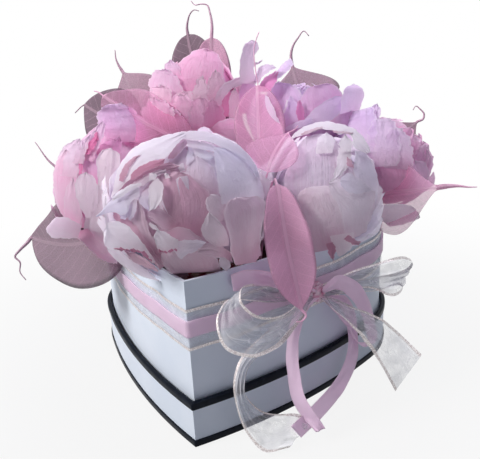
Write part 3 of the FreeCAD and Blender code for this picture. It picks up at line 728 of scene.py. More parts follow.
def petal_finish(name, pale, pink, lilac, deep, through):
    """One petal finish: the shared streaks in its own colours, part of the light let through."""
    look, tree, shader = new_finish(name, Roughness=0.55, Specular_IOR_Level=0.28, Sheen_Weight=0.15)
    # Rim is the colour of the paler edge and its painted highlight.
    skin = use_group(tree, streaks, Pale=pale, Pink=pink, Lilac=lilac, Deep=deep, Rim=(0.93, 0.88, 0.93, 1))
    plug(tree, shader.inputs["Base Color"], skin["Color"])
    bumped(tree, shader, skin["Height"], 0.0010, 0.7)
    let_through(tree, shader, skin["Color"], through)
    return look


PETAL_COLOURS = {
    # petal_pale's pink is dark and greyish: partly the petals' own colour, partly painted shade in the front flower's
    # hollow.
    "petal_pale": dict(
        pale=(0.93, 0.89, 0.94, 1), pink=(0.68, 0.43, 0.55, 1), lilac=(0.73, 0.70, 0.94, 1),
        deep=(0.62, 0.20, 0.36, 1), through=0.45,
    ),
    "petal_pink": dict(
        pale=(0.95, 0.83, 0.90, 1), pink=(0.95, 0.43, 0.69, 1), lilac=(0.70, 0.52, 0.86, 1),
        deep=(0.88, 0.18, 0.46, 1), through=0.35,
    ),
    "petal_lilac": dict(
        pale=(0.94, 0.82, 0.93, 1), pink=(0.92, 0.45, 0.72, 1), lilac=(0.68, 0.52, 0.86, 1),
        deep=(0.74, 0.22, 0.52, 1), through=0.35,
    ),
}
PETAL_LOOKS = {name: petal_finish(name, **facts) for name, facts in PETAL_COLOURS.items()}
print("petal finishes:", ", ".join(PETAL_LOOKS))

# %% [markdown]
# ## One petal
# A peony is a ball of petals that all grow from its foot and wrap upwards. So a petal is a piece of a ball: it runs
# along the great circle from a base direction to a tip direction, and swings out to both sides of it. Its rim is
# made by shortening the rows towards the sides, which gives a round fan with a slightly torn edge. Sculpting
# each petal by hand would also work, but a formula keeps some hundreds of them consistent.

# %% Petal surface
FLOWERS = {
    "front": dict(centre=(-0.007, -0.054, 0.130), radius=0.046, foot=(0.005, -0.035, 0.040), slot="petal_pale"),
    "right": dict(centre=(0.065, -0.010, 0.126), radius=0.036, foot=(0.025, 0.010, 0.045), slot="petal_pale"),
    "left": dict(
        centre=(-0.076, -0.015, 0.123), radius=0.033, foot=(-0.035, 0.015, 0.045), slot="petal_pink", lean=0.05
    ),
    "top_left": dict(centre=(-0.030, 0.050, 0.172), radius=0.034, foot=(-0.010, 0.038, 0.070), slot="petal_pink"),
    "top_right": dict(centre=(0.047, 0.053, 0.156), radius=0.029, foot=(0.022, 0.038, 0.070), slot="petal_lilac"),
    "far_right": dict(centre=(0.103, 0.044, 0.131), radius=0.031, foot=(0.048, 0.035, 0.060), slot="petal_pink"),
    "rear_left": dict(centre=(-0.072, 0.080, 0.118), radius=0.036, foot=(-0.038, 0.045, 0.045), slot="petal_pink"),
    "rear_right": dict(centre=(0.020, 0.084, 0.112), radius=0.030, foot=(0.020, 0.056, 0.045), slot="petal_lilac"),
}


def set_face(flower):
    """The flower's own directions: towards the camera, right and up as seen from it, and its disc in the picture."""
    middle = np.array(flower["centre"])
    away = middle - EYE
    depth = -float(away @ BACK)
    toward = unit(-away)
    right = unit(RIGHT - toward * float(RIGHT @ toward))
    flower["axes"] = np.array([right, np.cross(toward, right), toward])
    flower["spot"] = PICTURE / 2 + FOCAL_PIXELS / depth * np.array([away @ RIGHT, -(away @ UP)])
    flower["pixels"] = FOCAL_PIXELS * flower["radius"] / depth
    flower["near"] = flower["radius"] / depth
    flower["top"] = unit(middle - np.array(flower["foot"]))


for flower in FLOWERS.values():
    set_face(flower)


FOOT_WIDTH, END_WIDTH, WIDEST = 0.50, 0.62, 0.55
TORN, CUP = 0.04, 0.02


def petal_rim(t, q, slender, phase):
    """Way along a petal, round and a little torn at the rim, and its width there.

    The width grows like a quarter sine from the foot's share to 1, and falls off with a square to the end's share.
    Rows get shorter towards the sides by the side share squared, and three sines tear the rim.
    """
    tear = TORN * (np.sin(5 * q + phase[0]) + 0.7 * np.sin(9 * q + phase[1]) + 0.5 * np.sin(17 * q + phase[2]))
    along = t * (1.0 - 0.6 * END_WIDTH * slender * q**2 + tear * t**2)
    grown = FOOT_WIDTH + (1.0 - FOOT_WIDTH) * np.sin(math.pi / 2 * np.clip(t / WIDEST, 0.0, 1.0))
    return along, grown - (1.0 - END_WIDTH) * np.clip((t - WIDEST) / (1.0 - WIDEST), 0.0, 1.0) ** 2


def petal_reach(t, q, reach, lip, ruffle, cup, phase):
    """Distance from the flower's middle, in radii: from reach[0] to reach[1], with cupped sides, a lip and ruffles."""
    wave = np.sin(4.5 * q + phase[3] + 2 * t) + 0.6 * np.sin(9.5 * q + phase[4]) + 0.4 * np.sin(15 * q + phase[5])
    far = reach[0] + (reach[1] - reach[0]) * t**1.2 + cup * q**2 * t + ruffle * t**2 * wave
    return far + lip * np.maximum(np.clip((t - 0.66) / 0.34, 0.0, 1.0) ** 2, np.abs(q) ** 6 * t)


def petal_grid(rows, columns, seed):
    """The two parameters of a petal, along and across, and its own random phases."""
    phase = np.random.default_rng(seed).uniform(0.0, 2 * math.pi, 6)
    return np.linspace(0.0, 1.0, rows)[:, None], np.linspace(-1.0, 1.0, columns)[None, :], phase


def petal_patch(points, t, q, shade):
    """A petal's grid, its UV and its paint: pink, lilac, and a rim mask for a paler edge and painted highlight."""
    rim = np.clip(np.maximum(np.abs(q) ** 16, t**16), 0.0, 1.0)
    return patch(points, together((q + 1) / 2, t), (shade[0], shade[1], rim))


PETAL_ROWS, PETAL_COLUMNS = 17, 15


def petal(flower, base, tip, half, reach, lip, ruffle, shade, seed):
    """A petal on a ball: the great circle from base to tip, swung sideways by half times its width."""
    t, q, phase = petal_grid(PETAL_ROWS, PETAL_COLUMNS, seed)
    turn = math.acos(float(np.clip(base @ tip, -1.0, 1.0)))
    s, wide = petal_rim(t, q, half / turn, phase)
    across = unit(np.cross(base, tip))
    path = (np.sin((1.0 - s) * turn)[..., None] * base + np.sin(s * turn)[..., None] * tip) / math.sin(turn)
    swing = (q * half * wide)[..., None]
    way = np.cos(swing) * path + np.sin(swing) * across
    radius = flower["radius"] * petal_reach(t, q, reach, lip, ruffle, CUP, phase)
    return petal_patch(np.array(flower["centre"]) + radius[..., None] * way, t, q, shade)


def drawn_edge(corners, count, torn, phase):
    """One edge of a petal in the picture: a smooth line through its corners, torn sideways by three sines."""
    corners = np.array(corners, float).reshape(-1, 2)
    pace = distance_along(corners)
    line = smooth_route(corners, pace, count)
    way = np.gradient(line, axis=0)
    aside = unit(np.stack([-way[:, 1], way[:, 0]], axis=-1))
    s = np.linspace(0.0, pace[-1], count)
    tear = np.sin(0.5 * s + phase[0]) + 0.7 * np.sin(1.1 * s + phase[1]) + 0.5 * np.sin(1.9 * s + phase[2])
    return line + aside * (torn * tear)[:, None]


DRAWN_ROWS, DRAWN_COLUMNS, DRAWN_CUP = 34, 17, -0.012
LEAST_TORN, TORN_BY_RUFFLE, MOST_RUFFLE = 0.22, 12.0, 0.008
DISC_EDGE, FOLD_BACK = 0.95, 2.2
LEAN_FROM, LEAN_OVER = 1.43, 0.03


def drawn_petal(flower, row, seed):
    """A petal from one row of a table, drawn in the picture by its two edges and then laid on the flower's ball.

    Rows go straight from edge to edge. A point at distance p from the disc's middle, in radii, stands out towards
    the camera by the square root of reach squared minus p squared. What is drawn past the disc's edge folds round it
    and goes straight back, so it is hidden behind the flower. Nearer points look larger, so p is made smaller by
    the share of the depth. Petals with a large reach lean back: a move straight away from the camera by the
    flower's lean, which brings them nearer the ball and doesn't change the picture.
    """
    low, high, lip, ruffle, pink, lilac, first, second = row
    t, q, phase = petal_grid(DRAWN_ROWS, DRAWN_COLUMNS, seed)
    torn = LEAST_TORN + TORN_BY_RUFFLE * ruffle
    edges = [drawn_edge(first, DRAWN_ROWS, torn, phase), drawn_edge(second, DRAWN_ROWS, torn, phase[::-1])]
    half, third = DRAWN_ROWS // 2, 12
    run = edges[0][half] + edges[1][half] - edges[0][0] - edges[1][0]
    wide = edges[1][third] - edges[0][third]
    if run[0] * wide[1] - run[1] * wide[0] < 0:
        edges.reverse()
    spots = edges[0][:, None] + (edges[1] - edges[0])[:, None] * (q[..., None] + 1) / 2
    flat = (spots - flower["spot"]) * [1.0, -1.0] / flower["pixels"]
    reach = petal_reach(t, q, (low, high), lip, min(ruffle, MOST_RUFFLE), DRAWN_CUP, phase)
    stand = np.zeros_like(reach)
    for _ in range(4):
        far = np.hypot(*np.moveaxis(flat, -1, 0)) * (1.0 - flower["near"] * np.maximum(stand, 0.0)) / reach
        inner = np.minimum(far, DISC_EDGE)
        stand = reach * (np.sqrt(1.0 - inner**2) - FOLD_BACK * (far - inner))
    fold = inner * (1.0 - 0.5 * (far - inner)) / np.maximum(far, 0.01)
    flat = flat * (fold * (1.0 - flower["near"] * np.maximum(stand, 0.0)))[..., None]
    local = np.concatenate([flat, stand[..., None]], axis=-1)
    points = np.array(flower["centre"]) + flower["radius"] * local @ flower["axes"]
    lean = flower.get("lean", 0.0) * min(max((low - LEAN_FROM) / LEAN_OVER, 0.0), 1.0)
    points += lean * (points - EYE)
    return petal_patch(points[:, ::-1], t, q, (pink, lilac * (0.45 + 0.55 * t)))


RING_LOW, RING_HALF, RING_LIP, RING_RUFFLE = 0.3, 0.62, 0.03, 0.03


def whorl(flower, count, high, reach, shade, seed, hidden):
    """Petals evenly round the flower's own axis, from a low angle above its foot to a high one.

    Each is a little different. Unless hidden is None, petals that face the camera by more than it are left out.
    """
    top = flower["top"]
    first = unit(np.cross(top, [0.31, 0.95, 0.1]))
    second = np.cross(top, first)
    chance = np.random.default_rng(seed)
    made = []
    for index in range(count):
        angle = 2 * math.pi * (index + chance.uniform(-0.3, 0.3)) / count
        side = first * math.cos(angle) + second * math.sin(angle)
        ends = [-top * math.cos(a) + side * math.sin(a) for a in (RING_LOW, high + chance.uniform(-0.2, 0.2))]
        face = unit(ends[0] + ends[1] + side) @ flower["axes"][2]
        if hidden is not None and face > hidden:
            continue
        drift = chance.uniform(-0.03, 0.03)
        mood = (shade[0] + chance.uniform(-0.18, 0.18), shade[1] + chance.uniform(-0.15, 0.15))
        spread = (reach[0] + drift, reach[1] + drift)
        mood = np.clip(mood, 0, 1)
        made.append(petal(flower, *ends, RING_HALF, spread, RING_LIP, RING_RUFFLE, mood, seed * 97 + index))
    return made


BALL_ROWS, BALL_COLUMNS, BALL_POLE = 25, 48, 0.06


def heart_of(flower, share, shade):
    """The closed middle of a flower: a ball with low ridges that run from pole to pole, like the tightest petals."""
    polar = np.linspace(BALL_POLE, math.pi - BALL_POLE, BALL_ROWS)[:, None]
    angle = np.linspace(0.0, 2 * math.pi, BALL_COLUMNS, endpoint=False)[None, :]
    radius = flower["radius"] * share * (1.0 + 0.035 * np.sin(9 * angle + 4 * polar))
    way = together(np.sin(polar) * np.cos(angle), np.sin(polar) * np.sin(angle), np.cos(polar))
    points = np.array(flower["centre"]) + radius[..., None] * way
    uv = together(np.linspace(0, 4, BALL_COLUMNS + 1)[None, :], polar / math.pi)
    return patch(points, uv, (*shade, 0.0), closed=True, caps=True)


print("flowers:", ", ".join(FLOWERS))

# %% [markdown]
# ## Petals that the picture shows
# The petals one can see are drawn flower by flower. Each row gives how far out from the flower's middle the
# petal's base and tip lie, how much its rim curls, how much it ruffles and tears, how pink and how lilac it is (a
# pink of 2 is the deepest), and then its two edges in the picture, both from base to tip, as x, y, x, y and so on.
# Rows further down mostly lie further out. The last three rows of the right flower are its sepals.

# %% Petal tables
PETALS = {
    # In the front flower, the petals in the hollow under the hood get high pink shares, which paint its shade.
    "front": [
        (0.82, 0.84, 0.0, 0.01, 0.65, 0.15,
         [150, 262, 132, 232, 138, 200, 160, 172],
         [200, 266, 228, 240, 226, 200, 200, 166]),
        (0.84, 0.87, 0.0, 0.004, 0.5, 0.22,
         [186, 200, 184, 182, 186, 168, 190, 159, 197, 156],
         [216, 204, 219, 190, 216, 176, 212, 165, 205, 159, 197, 156]),
        (0.85, 0.88, 0.0, 0.004, 0.6, 0.45,
         [171, 173, 168, 163, 176, 153, 185, 146],
         [187, 172, 188, 160, 187, 150, 185, 146]),
        (0.87, 0.885, 0.0, 0.002, 0.15, 0.55,
         [186, 166, 187, 156, 188, 147],
         [194, 160, 194, 152, 193, 146]),
        (0.89, 0.9, 0.0, 0.002, 0.05, 0.42,
         [192, 148, 199, 148, 207, 151, 214, 156],
         [193, 150, 197, 155, 204, 159, 211, 160, 214, 157]),
        (0.86, 0.9, 0.01, 0.015, 0.95, 0.05,
         [180, 248, 168, 226, 162, 203, 161, 186, 163, 177, 168, 174, 175, 172, 182, 172],
         [196, 248, 206, 228, 212, 212, 213, 200, 208, 191, 200, 184, 192, 177, 182, 172]),
        (0.87, 0.9, 0.01, 0.004, 0.7, 0.15,
         [176, 232, 164, 229, 154, 222, 147, 216],
         [176, 222, 167, 213, 158, 208, 150, 210, 147, 216]),
        (0.9, 0.95, 0.0, 0.008, 0.65, 0.05,
         [160, 270, 146, 252, 136, 234, 131, 220, 133, 208, 138, 200],
         [168, 262, 158, 246, 150, 232, 146, 218, 142, 206, 138, 200]),
        (0.93, 0.95, 0.0, 0.006, 0.9, 0.0,
         [110, 213, 118, 222, 130, 234, 142, 248, 156, 266],
         [114, 209, 124, 216, 134, 223, 145, 237, 153, 250, 163, 264]),
        (0.93, 0.9, 0.0, 0.02, 0.95, 0.05,
         [118, 191, 124, 183, 132, 177, 141, 171, 150, 167, 160, 164, 170, 163, 180, 166],
         [124, 192, 132, 187, 140, 183, 147, 180, 155, 176, 164, 172, 172, 170, 180, 167]),
        (0.95, 0.93, 0.0, 0.02, 0.45, 0.2,
         [128, 188, 137, 181, 146, 175, 156, 171, 166, 169],
         [131, 190, 140, 187, 148, 183, 156, 178, 166, 172]),
        # The next two small white bits paint highlights on the ruffled folds.
        (0.95, 0.96, 0.01, 0.02, 0.0, 0.08,
         [149, 181, 150, 175, 153, 172],
         [155, 180, 157, 176, 153, 172]),
        (0.93, 0.94, 0.01, 0.02, 0.0, 0.08,
         [165, 179, 165, 175, 167, 173],
         [170, 178, 169, 175, 167, 173]),
        (0.935, 0.945, 0.0, 0.004, 0.25, 0.6,
         [187, 140, 200, 142, 214, 146, 228, 151, 242, 160],
         [188, 147, 200, 149, 214, 152, 226, 157, 240, 164]),
        (0.92, 0.93, 0.0, 0.004, 0.85, 0.2,
         [168, 159, 171, 150, 176, 143, 183, 139],
         [174, 159, 181, 152, 187, 145, 187, 140]),
        (0.955, 0.965, 0.02, 0.002, 0.06, 0.55,
         [222, 204, 219, 190, 217, 176, 215, 162, 214, 150],
         [264, 206, 265, 190, 260, 174, 250, 162, 238, 153, 226, 148, 214, 147]),
        (0.97, 0.985, 0.0, 0.006, 0.06, 0.2,
         [112, 198, 115, 186, 119, 170, 125, 159, 134, 149, 144, 143, 155, 139, 168, 135, 182, 132],
         [120, 190, 127, 183, 133, 177, 139, 170, 147, 164, 156, 160, 166, 158, 173, 150, 180, 142, 187, 136]),
        (0.975, 0.985, 0.0, 0.003, 0.08, 0.42,
         [181, 132, 195, 131, 210, 133, 224, 138, 237, 144, 248, 152, 256, 163, 260, 175],
         [184, 139, 196, 140, 209, 142, 222, 147, 236, 154, 246, 162, 252, 170, 258, 178]),
        (0.99, 0.995, 0.0, 0.003, 1.1, 0.0,
         [120, 181, 122, 172, 127, 164, 134, 158, 141, 155],
         [124, 182, 128, 174, 132, 166, 137, 160, 141, 155]),
        (0.985, 0.995, 0.0, 0.005, 1.5, 0.0,
         [131, 180, 133, 173, 139, 168, 148, 163, 158, 160, 166, 159],
         [135, 180, 141, 175, 148, 171, 156, 168, 163, 164, 166, 159]),
        (0.95, 0.97, 0.0, 0.004, 0.35, 0.6,
         [146, 190, 140, 196, 140, 203, 145, 208, 150, 211],
         [150, 188, 150, 195, 149, 203, 150, 211]),
        (0.96, 0.985, 0.02, 0.004, 0.02, 0.08,
         [152, 182, 149, 189, 149, 198, 149, 206, 150, 211],
         [158, 178, 163, 184, 163, 194, 160, 203, 156, 208, 150, 211]),
        (0.945, 0.955, 0.0, 0.003, 0.4, 0.1,
         [222, 222, 212, 215, 206, 207, 206, 200, 210, 195],
         [226, 214, 225, 206, 222, 199, 216, 194, 210, 195]),
        (0.955, 0.97, 0.01, 0.003, 0.32, 0.05,
         [216, 247, 206, 240, 201, 231, 204, 221, 209, 212],
         [229, 246, 228, 236, 224, 227, 217, 219, 209, 212]),
        (0.95, 0.96, 0.0, 0.006, 0.55, 0.05,
         [233, 263, 222, 259, 210, 257, 198, 253],
         [231, 252, 221, 247, 210, 243, 202, 245, 198, 250]),
        (0.92, 0.94, 0.0, 0.008, 0.5, 0.05,
         [170, 274, 161, 258, 164, 250, 174, 250],
         [222, 272, 216, 258, 200, 250, 188, 252, 174, 250]),
        (1.1, 0.985, 0.02, 0.002, 0.66, 0.12,
         [236, 266, 231, 254, 230, 238, 226, 224, 224, 212, 228, 202, 236, 197],
         [262, 262, 261, 246, 262, 230, 265, 214, 265, 200, 258, 196, 248, 197, 236, 197]),
        (0.965, 0.975, 0.0, 0.003, 0.7, 0.1,
         [166, 233, 174, 228, 182, 227, 190, 230, 198, 236, 207, 242],
         [170, 237, 180, 240, 190, 242, 200, 242, 207, 242]),
        (0.985, 1.0, 0.0, 0.004, 0.1, 0.35,
         [174, 241, 186, 240, 197, 240, 207, 242],
         [173, 250, 181, 259, 188, 254, 195, 252, 201, 247, 207, 242]),
        (0.96, 0.96, 0.0, 0.003, 0.0, 0.05,
         [150, 222, 155, 225, 159, 230],
         [149, 224, 153, 229, 159, 231]),
        (0.99, 1.02, 0.02, 0.004, 0.02, 0.1,
         [178, 240, 170, 235, 163, 231, 157, 230],
         [178, 248, 172, 251, 165, 252, 159, 250, 156, 244, 154, 237, 157, 230]),
        (1.01, 1.03, 0.0, 0.04, 1.6, 0.0,
         [177, 249, 170, 250, 163, 251, 158, 250],
         [177, 251, 170, 252, 163, 253, 158, 252]),
        (0.97, 1.0, 0.0, 0.004, 0.3, 0.5,
         [130, 200, 127, 210, 129, 219],
         [138, 199, 137, 208, 133, 218, 129, 220]),
        (0.98, 1.03, 0.0, 0.004, 0.1, 0.6,
         [122, 200, 117, 209, 121, 217],
         [130, 202, 129, 212, 126, 219, 121, 219]),
        (0.97, 1.17, 0.0, 0.004, 0.05, 0.55,
         [140, 184, 130, 187, 121, 193, 112, 200, 104, 209, 97, 217],
         [140, 196, 131, 203, 128, 212, 122, 215, 114, 212, 106, 214, 97, 217]),
        (1.0, 1.12, 0.0, 0.004, 0.0, 0.1,
         [142, 183, 131, 185, 122, 190, 113, 197],
         [142, 186, 132, 190, 124, 196, 114, 201]),
        (0.95, 1.1, 0.0, 0.01, 0.85, 0.0,
         [116, 248, 128, 251, 140, 255, 150, 262, 158, 270],
         [116, 252, 128, 258, 140, 265, 150, 269, 158, 272]),
        (0.97, 1.17, 0.02, 0.004, 0.05, 0.15,
         [156, 262, 146, 247, 136, 234, 126, 224, 117, 221, 110, 222, 105, 231],
         [152, 263, 143, 252, 132, 250, 120, 249, 110, 249, 105, 243, 105, 231]),
        (1.03, 1.2, 0.0, 0.04, 1.6, 0.0,
         [152, 260, 143, 251, 132, 249, 122, 248, 113, 247],
         [151, 263, 142, 254, 132, 251, 122, 250, 113, 249]),
        (1.0, 1.03, 0.0, 0.003, 0.02, 0.12,
         [219, 257, 219, 263, 222, 269, 226, 272],
         [224, 258, 230, 262, 230, 268, 226, 272]),
    ],
    "right": [
        (0.93, 1.12, 0.0, 0.004, 0.5, 0.36,
         [296, 240, 288, 215, 284, 190, 288, 165, 296, 148, 306, 137],
         [345, 240, 348, 210, 344, 180, 342, 160, 336, 143, 322, 134, 306, 137]),
        (1.1, 1.16, 0.0, 0.006, 0.12, 0.1,
         [316, 154, 316, 145, 319, 137, 326, 133],
         [331, 153, 334, 146, 333, 138, 326, 133]),
        # A pink strip that paints the shade in a fold.
        (1.0, 1.02, 0.0, 0.02, 0.85, 0.0,
         [330, 153, 333, 160, 333, 168],
         [336, 150, 337, 160, 335, 168]),
        (1.05, 1.05, 0.0, 0.004, 0.35, 0.1,
         [352, 238, 362, 226, 368, 212, 371, 198],
         [360, 236, 369, 222, 374, 206, 374, 192]),
        (1.14, 1.03, 0.0, 0.003, 0.42, 0.05,
         [310, 254, 303, 240, 300, 222, 297, 206, 300, 192, 306, 188],
         [350, 246, 346, 232, 343, 218, 340, 207, 335, 198, 330, 187, 320, 186, 306, 188]),
        (1.13, 1.07, 0.01, 0.01, 0.3, 0.12,
         [347, 240, 344, 226, 341, 212, 335, 200, 330, 192, 329, 184],
         [366, 232, 369, 214, 373, 200, 373, 191, 360, 190, 345, 186, 336, 178, 329, 184]),
        (1.09, 1.07, 0.0, 0.02, 0.05, 0.05,
         [338, 148, 337, 158, 336, 166, 334, 174, 329, 183],
         [350, 150, 350, 160, 346, 169, 340, 176, 329, 184]),
        (1.07, 1.11, 0.0, 0.003, 0.05, 0.5,
         [366, 188, 358, 181, 353, 172, 354, 160, 354, 152],
         [376, 190, 377, 182, 374, 170, 369, 160, 362, 152, 354, 151]),
        (1.12, 1.14, 0.01, 0.004, 0.05, 0.42,
         [371, 189, 363, 182, 356, 177, 348, 173, 342, 176, 340, 181],
         [370, 191, 362, 193, 353, 194, 346, 191, 341, 186, 340, 181]),
        (1.12, 1.12, 0.0, 0.01, 0.85, 0.0,
         [346, 166, 346, 161, 347, 157],
         [354, 168, 351, 162, 347, 157]),
        (1.12, 1.17, 0.0, 0.012, 0.0, 0.0,
         [340, 152, 339, 142, 344, 135],
         [350, 152, 351, 142, 344, 135]),
        (1.18, 1.18, 0.0, 0.008, 0.1, 0.08,
         [290, 138, 297, 131, 306, 126, 316, 123, 326, 122, 337, 124, 347, 127, 355, 131, 362, 138, 367, 146, 369,
          152],
         [292, 139, 300, 136, 311, 132, 322, 130, 332, 131, 338, 135, 346, 134, 351, 138, 352, 146, 358, 151, 366,
          154]),
        (1.19, 1.19, 0.0, 0.004, 0.6, 0.0,
         [300, 134, 312, 129, 322, 127],
         [302, 136, 313, 132, 322, 129]),
        (1.19, 1.19, 0.0, 0.004, 0.6, 0.0,
         [332, 131, 342, 132, 352, 133],
         [333, 133, 342, 134, 352, 135]),
        (1.2, 1.26, 0.0, 0.01, 0.2, 0.0,
         [330, 236, 334, 249, 340, 257],
         [354, 232, 353, 246, 346, 254]),
        (1.21, 1.28, 0.0, 0.02, 1.3, 0.0,
         [326, 244, 329, 253, 333, 261],
         [335, 242, 336, 252, 334, 261]),
        (1.22, 1.26, 0.0, 0.02, 1.25, 0.0,
         [344, 239, 352, 244, 359, 245],
         [348, 235, 355, 239, 361, 242]),
    ],
    "left": [
        (1.0, 1.34, 0.0, 0.004, 0.6, 0.2,
         [70, 190, 72, 165, 82, 142, 98, 126],
         [136, 186, 146, 165, 140, 142, 98, 126]),
        (1.55, 1.9, 0.01, 0.03, 0.55, 0.62,
         [108, 142, 100, 128, 98, 117, 102, 109, 110, 105],
         [150, 142, 146, 128, 141, 117, 133, 108, 122, 104]),
        (1.46, 1.64, 0.01, 0.025, 0.6, 0.55,
         [106, 148, 101, 135, 102, 125, 108, 120, 116, 118],
         [152, 144, 149, 134, 142, 126, 134, 121, 126, 118]),
        (1.1, 1.3, 0.01, 0.03, 0.85, 0.25,
         [94, 164, 94, 152, 102, 144, 112, 139, 120, 137],
         [116, 164, 120, 154, 123, 146, 120, 137]),
        (1.24, 1.52, 0.01, 0.025, 0.45, 0.35,
         [80, 160, 83, 148, 89, 138, 97, 128, 103, 121],
         [94, 162, 99, 148, 104, 136, 106, 127, 103, 121]),
        (1.3, 1.44, 0.0, 0.025, 1.55, 0.0,
         [82, 154, 87, 146, 93, 139, 98, 132],
         [90, 155, 95, 148, 99, 141, 98, 132]),
        (1.28, 1.42, 0.01, 0.02, 0.28, 0.3,
         [74, 164, 77, 152, 83, 142, 91, 135],
         [84, 164, 87, 153, 90, 143, 91, 135]),
        (1.16, 1.24, 0.01, 0.014, 0.6, 0.45,
         [84, 184, 83, 168, 86, 156, 93, 150],
         [99, 186, 101, 170, 99, 157, 93, 150]),
        (1.26, 1.28, 0.0, 0.01, 1.5, 0.0,
         [80, 174, 80, 164, 83, 154],
         [83, 174, 84, 164, 84, 155]),
        (1.0, 1.3, 0.01, 0.01, 0.45, 0.1,
         [72, 228, 60, 208, 56, 190, 56, 172, 61, 158, 68, 150],
         [88, 228, 81, 210, 79, 192, 80, 172, 78, 158, 68, 150]),
        (1.18, 1.4, 0.02, 0.016, 0.22, 0.3,
         [62, 176, 60, 162, 64, 150, 72, 143, 82, 139],
         [78, 178, 82, 164, 84, 150, 82, 139]),
        (1.2, 1.26, 0.01, 0.012, 0.38, 0.12,
         [66, 224, 65, 206, 68, 188, 74, 178],
         [82, 226, 82, 208, 80, 190, 74, 178]),
        (1.12, 1.18, 0.0, 0.006, 0.12, 0.04,
         [104, 254, 92, 243, 84, 228, 88, 214, 96, 206],
         [116, 250, 118, 232, 114, 218, 106, 208, 96, 206]),
        (1.36, 1.41, 0.02, 0.012, 0.04, 0.02,
         [90, 230, 92, 208, 97, 190, 98, 174, 97, 160, 102, 151, 111, 148],
         [108, 236, 108, 212, 113, 195, 118, 180, 120, 166, 119, 153, 111, 148]),
        (1.37, 1.39, 0.02, 0.01, 0.0, 0.12,
         [86, 218, 79, 202, 76, 187, 79, 177, 87, 172],
         [94, 216, 98, 202, 98, 189, 95, 178, 87, 172]),
        (1.15, 1.52, 0.0, 0.01, 0.55, 0.0,
         [74, 232, 88, 248, 102, 261, 116, 265],
         [88, 228, 98, 240, 108, 248, 118, 254]),
        (1.2, 1.62, 0.02, 0.006, 0.16, 0.22,
         [78, 238, 64, 238, 52, 236, 48, 229, 52, 222],
         [82, 226, 75, 221, 66, 217, 58, 217, 52, 222]),
    ],
    "top_left": [
        (1.0, 1.14, 0.01, 0.012, 0.66, 0.1,
         [190, 108, 181, 92, 176, 78, 178, 66, 187, 58, 196, 52, 206, 50],
         [198, 108, 208, 96, 220, 86, 224, 74, 222, 62, 216, 54, 206, 50]),
        (1.45, 1.8, 0.01, 0.004, 0.1, 0.5,
         [240, 84, 240, 66, 242, 54, 246, 45, 252, 42],
         [257, 84, 254, 68, 255, 56, 259, 49, 257, 44, 252, 42]),
        (1.4, 1.72, 0.0, 0.003, 0.1, 0.4,
         [250, 66, 256, 62, 263, 60, 271, 56],
         [252, 69, 258, 65, 264, 62, 272, 57]),
        (1.06, 1.14, 0.01, 0.008, 0.4, 0.4,
         [166, 76, 166, 66, 171, 61],
         [182, 76, 179, 66, 171, 61]),
        (1.06, 1.16, 0.02, 0.04, 0.45, 0.28,
         [156, 106, 150, 92, 151, 78, 158, 71, 166, 70],
         [184, 104, 183, 90, 179, 80, 173, 73, 166, 70]),
        (1.12, 1.18, 0.02, 0.06, 0.36, 0.06,
         [150, 110, 150, 96, 154, 87, 161, 86],
         [172, 110, 172, 97, 169, 87, 161, 86]),
        (1.13, 1.18, 0.02, 0.03, 0.32, 0.05,
         [174, 116, 174, 100, 176, 94, 184, 91],
         [196, 114, 194, 100, 192, 93, 184, 91]),
        (1.14, 1.19, 0.02, 0.05, 0.28, 0.05,
         [192, 108, 193, 94, 196, 83, 202, 76],
         [208, 108, 210, 95, 208, 85, 202, 76]),
        (1.15, 1.2, 0.02, 0.05, 0.4, 0.03,
         [206, 106, 208, 89, 210, 77, 216, 71],
         [222, 102, 226, 88, 223, 78, 216, 71]),
        (1.18, 1.18, 0.0, 0.01, 1.2, 0.05,
         [213, 119, 216, 106, 223, 95, 230, 91],
         [230, 116, 232, 106, 233, 97, 230, 91]),
        (1.34, 1.4, 0.0, 0.006, 0.7, 0.55,
         [240, 114, 239, 98, 241, 86, 247, 77],
         [252, 112, 256, 98, 256, 86, 247, 77]),
        (1.26, 1.3, 0.01, 0.008, 0.3, 0.06,
         [230, 126, 229, 108, 230, 96, 235, 88],
         [244, 126, 242, 108, 240, 96, 235, 88]),
        (1.2, 1.42, 0.02, 0.006, 0.25, 0.2,
         [212, 112, 216, 96, 222, 86, 232, 80, 242, 77, 251, 76],
         [219, 112, 224, 98, 231, 90, 239, 86, 247, 84, 255, 82]),
        (1.2, 1.26, 0.02, 0.06, 0.52, 0.05,
         [170, 140, 166, 118, 170, 100, 180, 93],
         [198, 140, 200, 118, 194, 101, 180, 93]),
        (1.23, 1.28, 0.02, 0.06, 0.56, 0.05,
         [190, 140, 188, 118, 192, 103, 200, 95],
         [218, 140, 218, 120, 212, 104, 200, 95]),
        (1.32, 1.4, 0.02, 0.06, 0.5, 0.05,
         [148, 142, 140, 124, 143, 108, 154, 97],
         [176, 140, 176, 120, 170, 105, 154, 97]),
        (1.26, 1.3, 0.02, 0.05, 0.66, 0.05,
         [202, 138, 202, 120, 206, 106, 212, 98],
         [226, 136, 226, 120, 221, 106, 212, 98]),
        (1.28, 1.34, 0.02, 0.06, 0.44, 0.06,
         [158, 142, 156, 126, 160, 114, 170, 107],
         [186, 142, 186, 127, 181, 114, 170, 107]),
        (1.25, 1.75, 0.01, 0.01, 0.6, 0.05,
         [206, 132, 218, 122, 232, 118, 244, 124],
         [216, 148, 232, 152, 246, 152, 256, 144]),
    ],
    "top_right": [
        (1.46, 1.5, 0.0, 0.01, 1.5, 0.1,
         [256, 92, 261, 82, 268, 76, 276, 72],
         [270, 92, 274, 86, 277, 80, 280, 74]),
        (1.02, 1.22, 0.0, 0.008, 0.5, 0.62,
         [282, 140, 273, 116, 265, 100, 267, 88, 278, 82],
         [304, 136, 306, 116, 303, 98, 294, 87, 278, 82]),
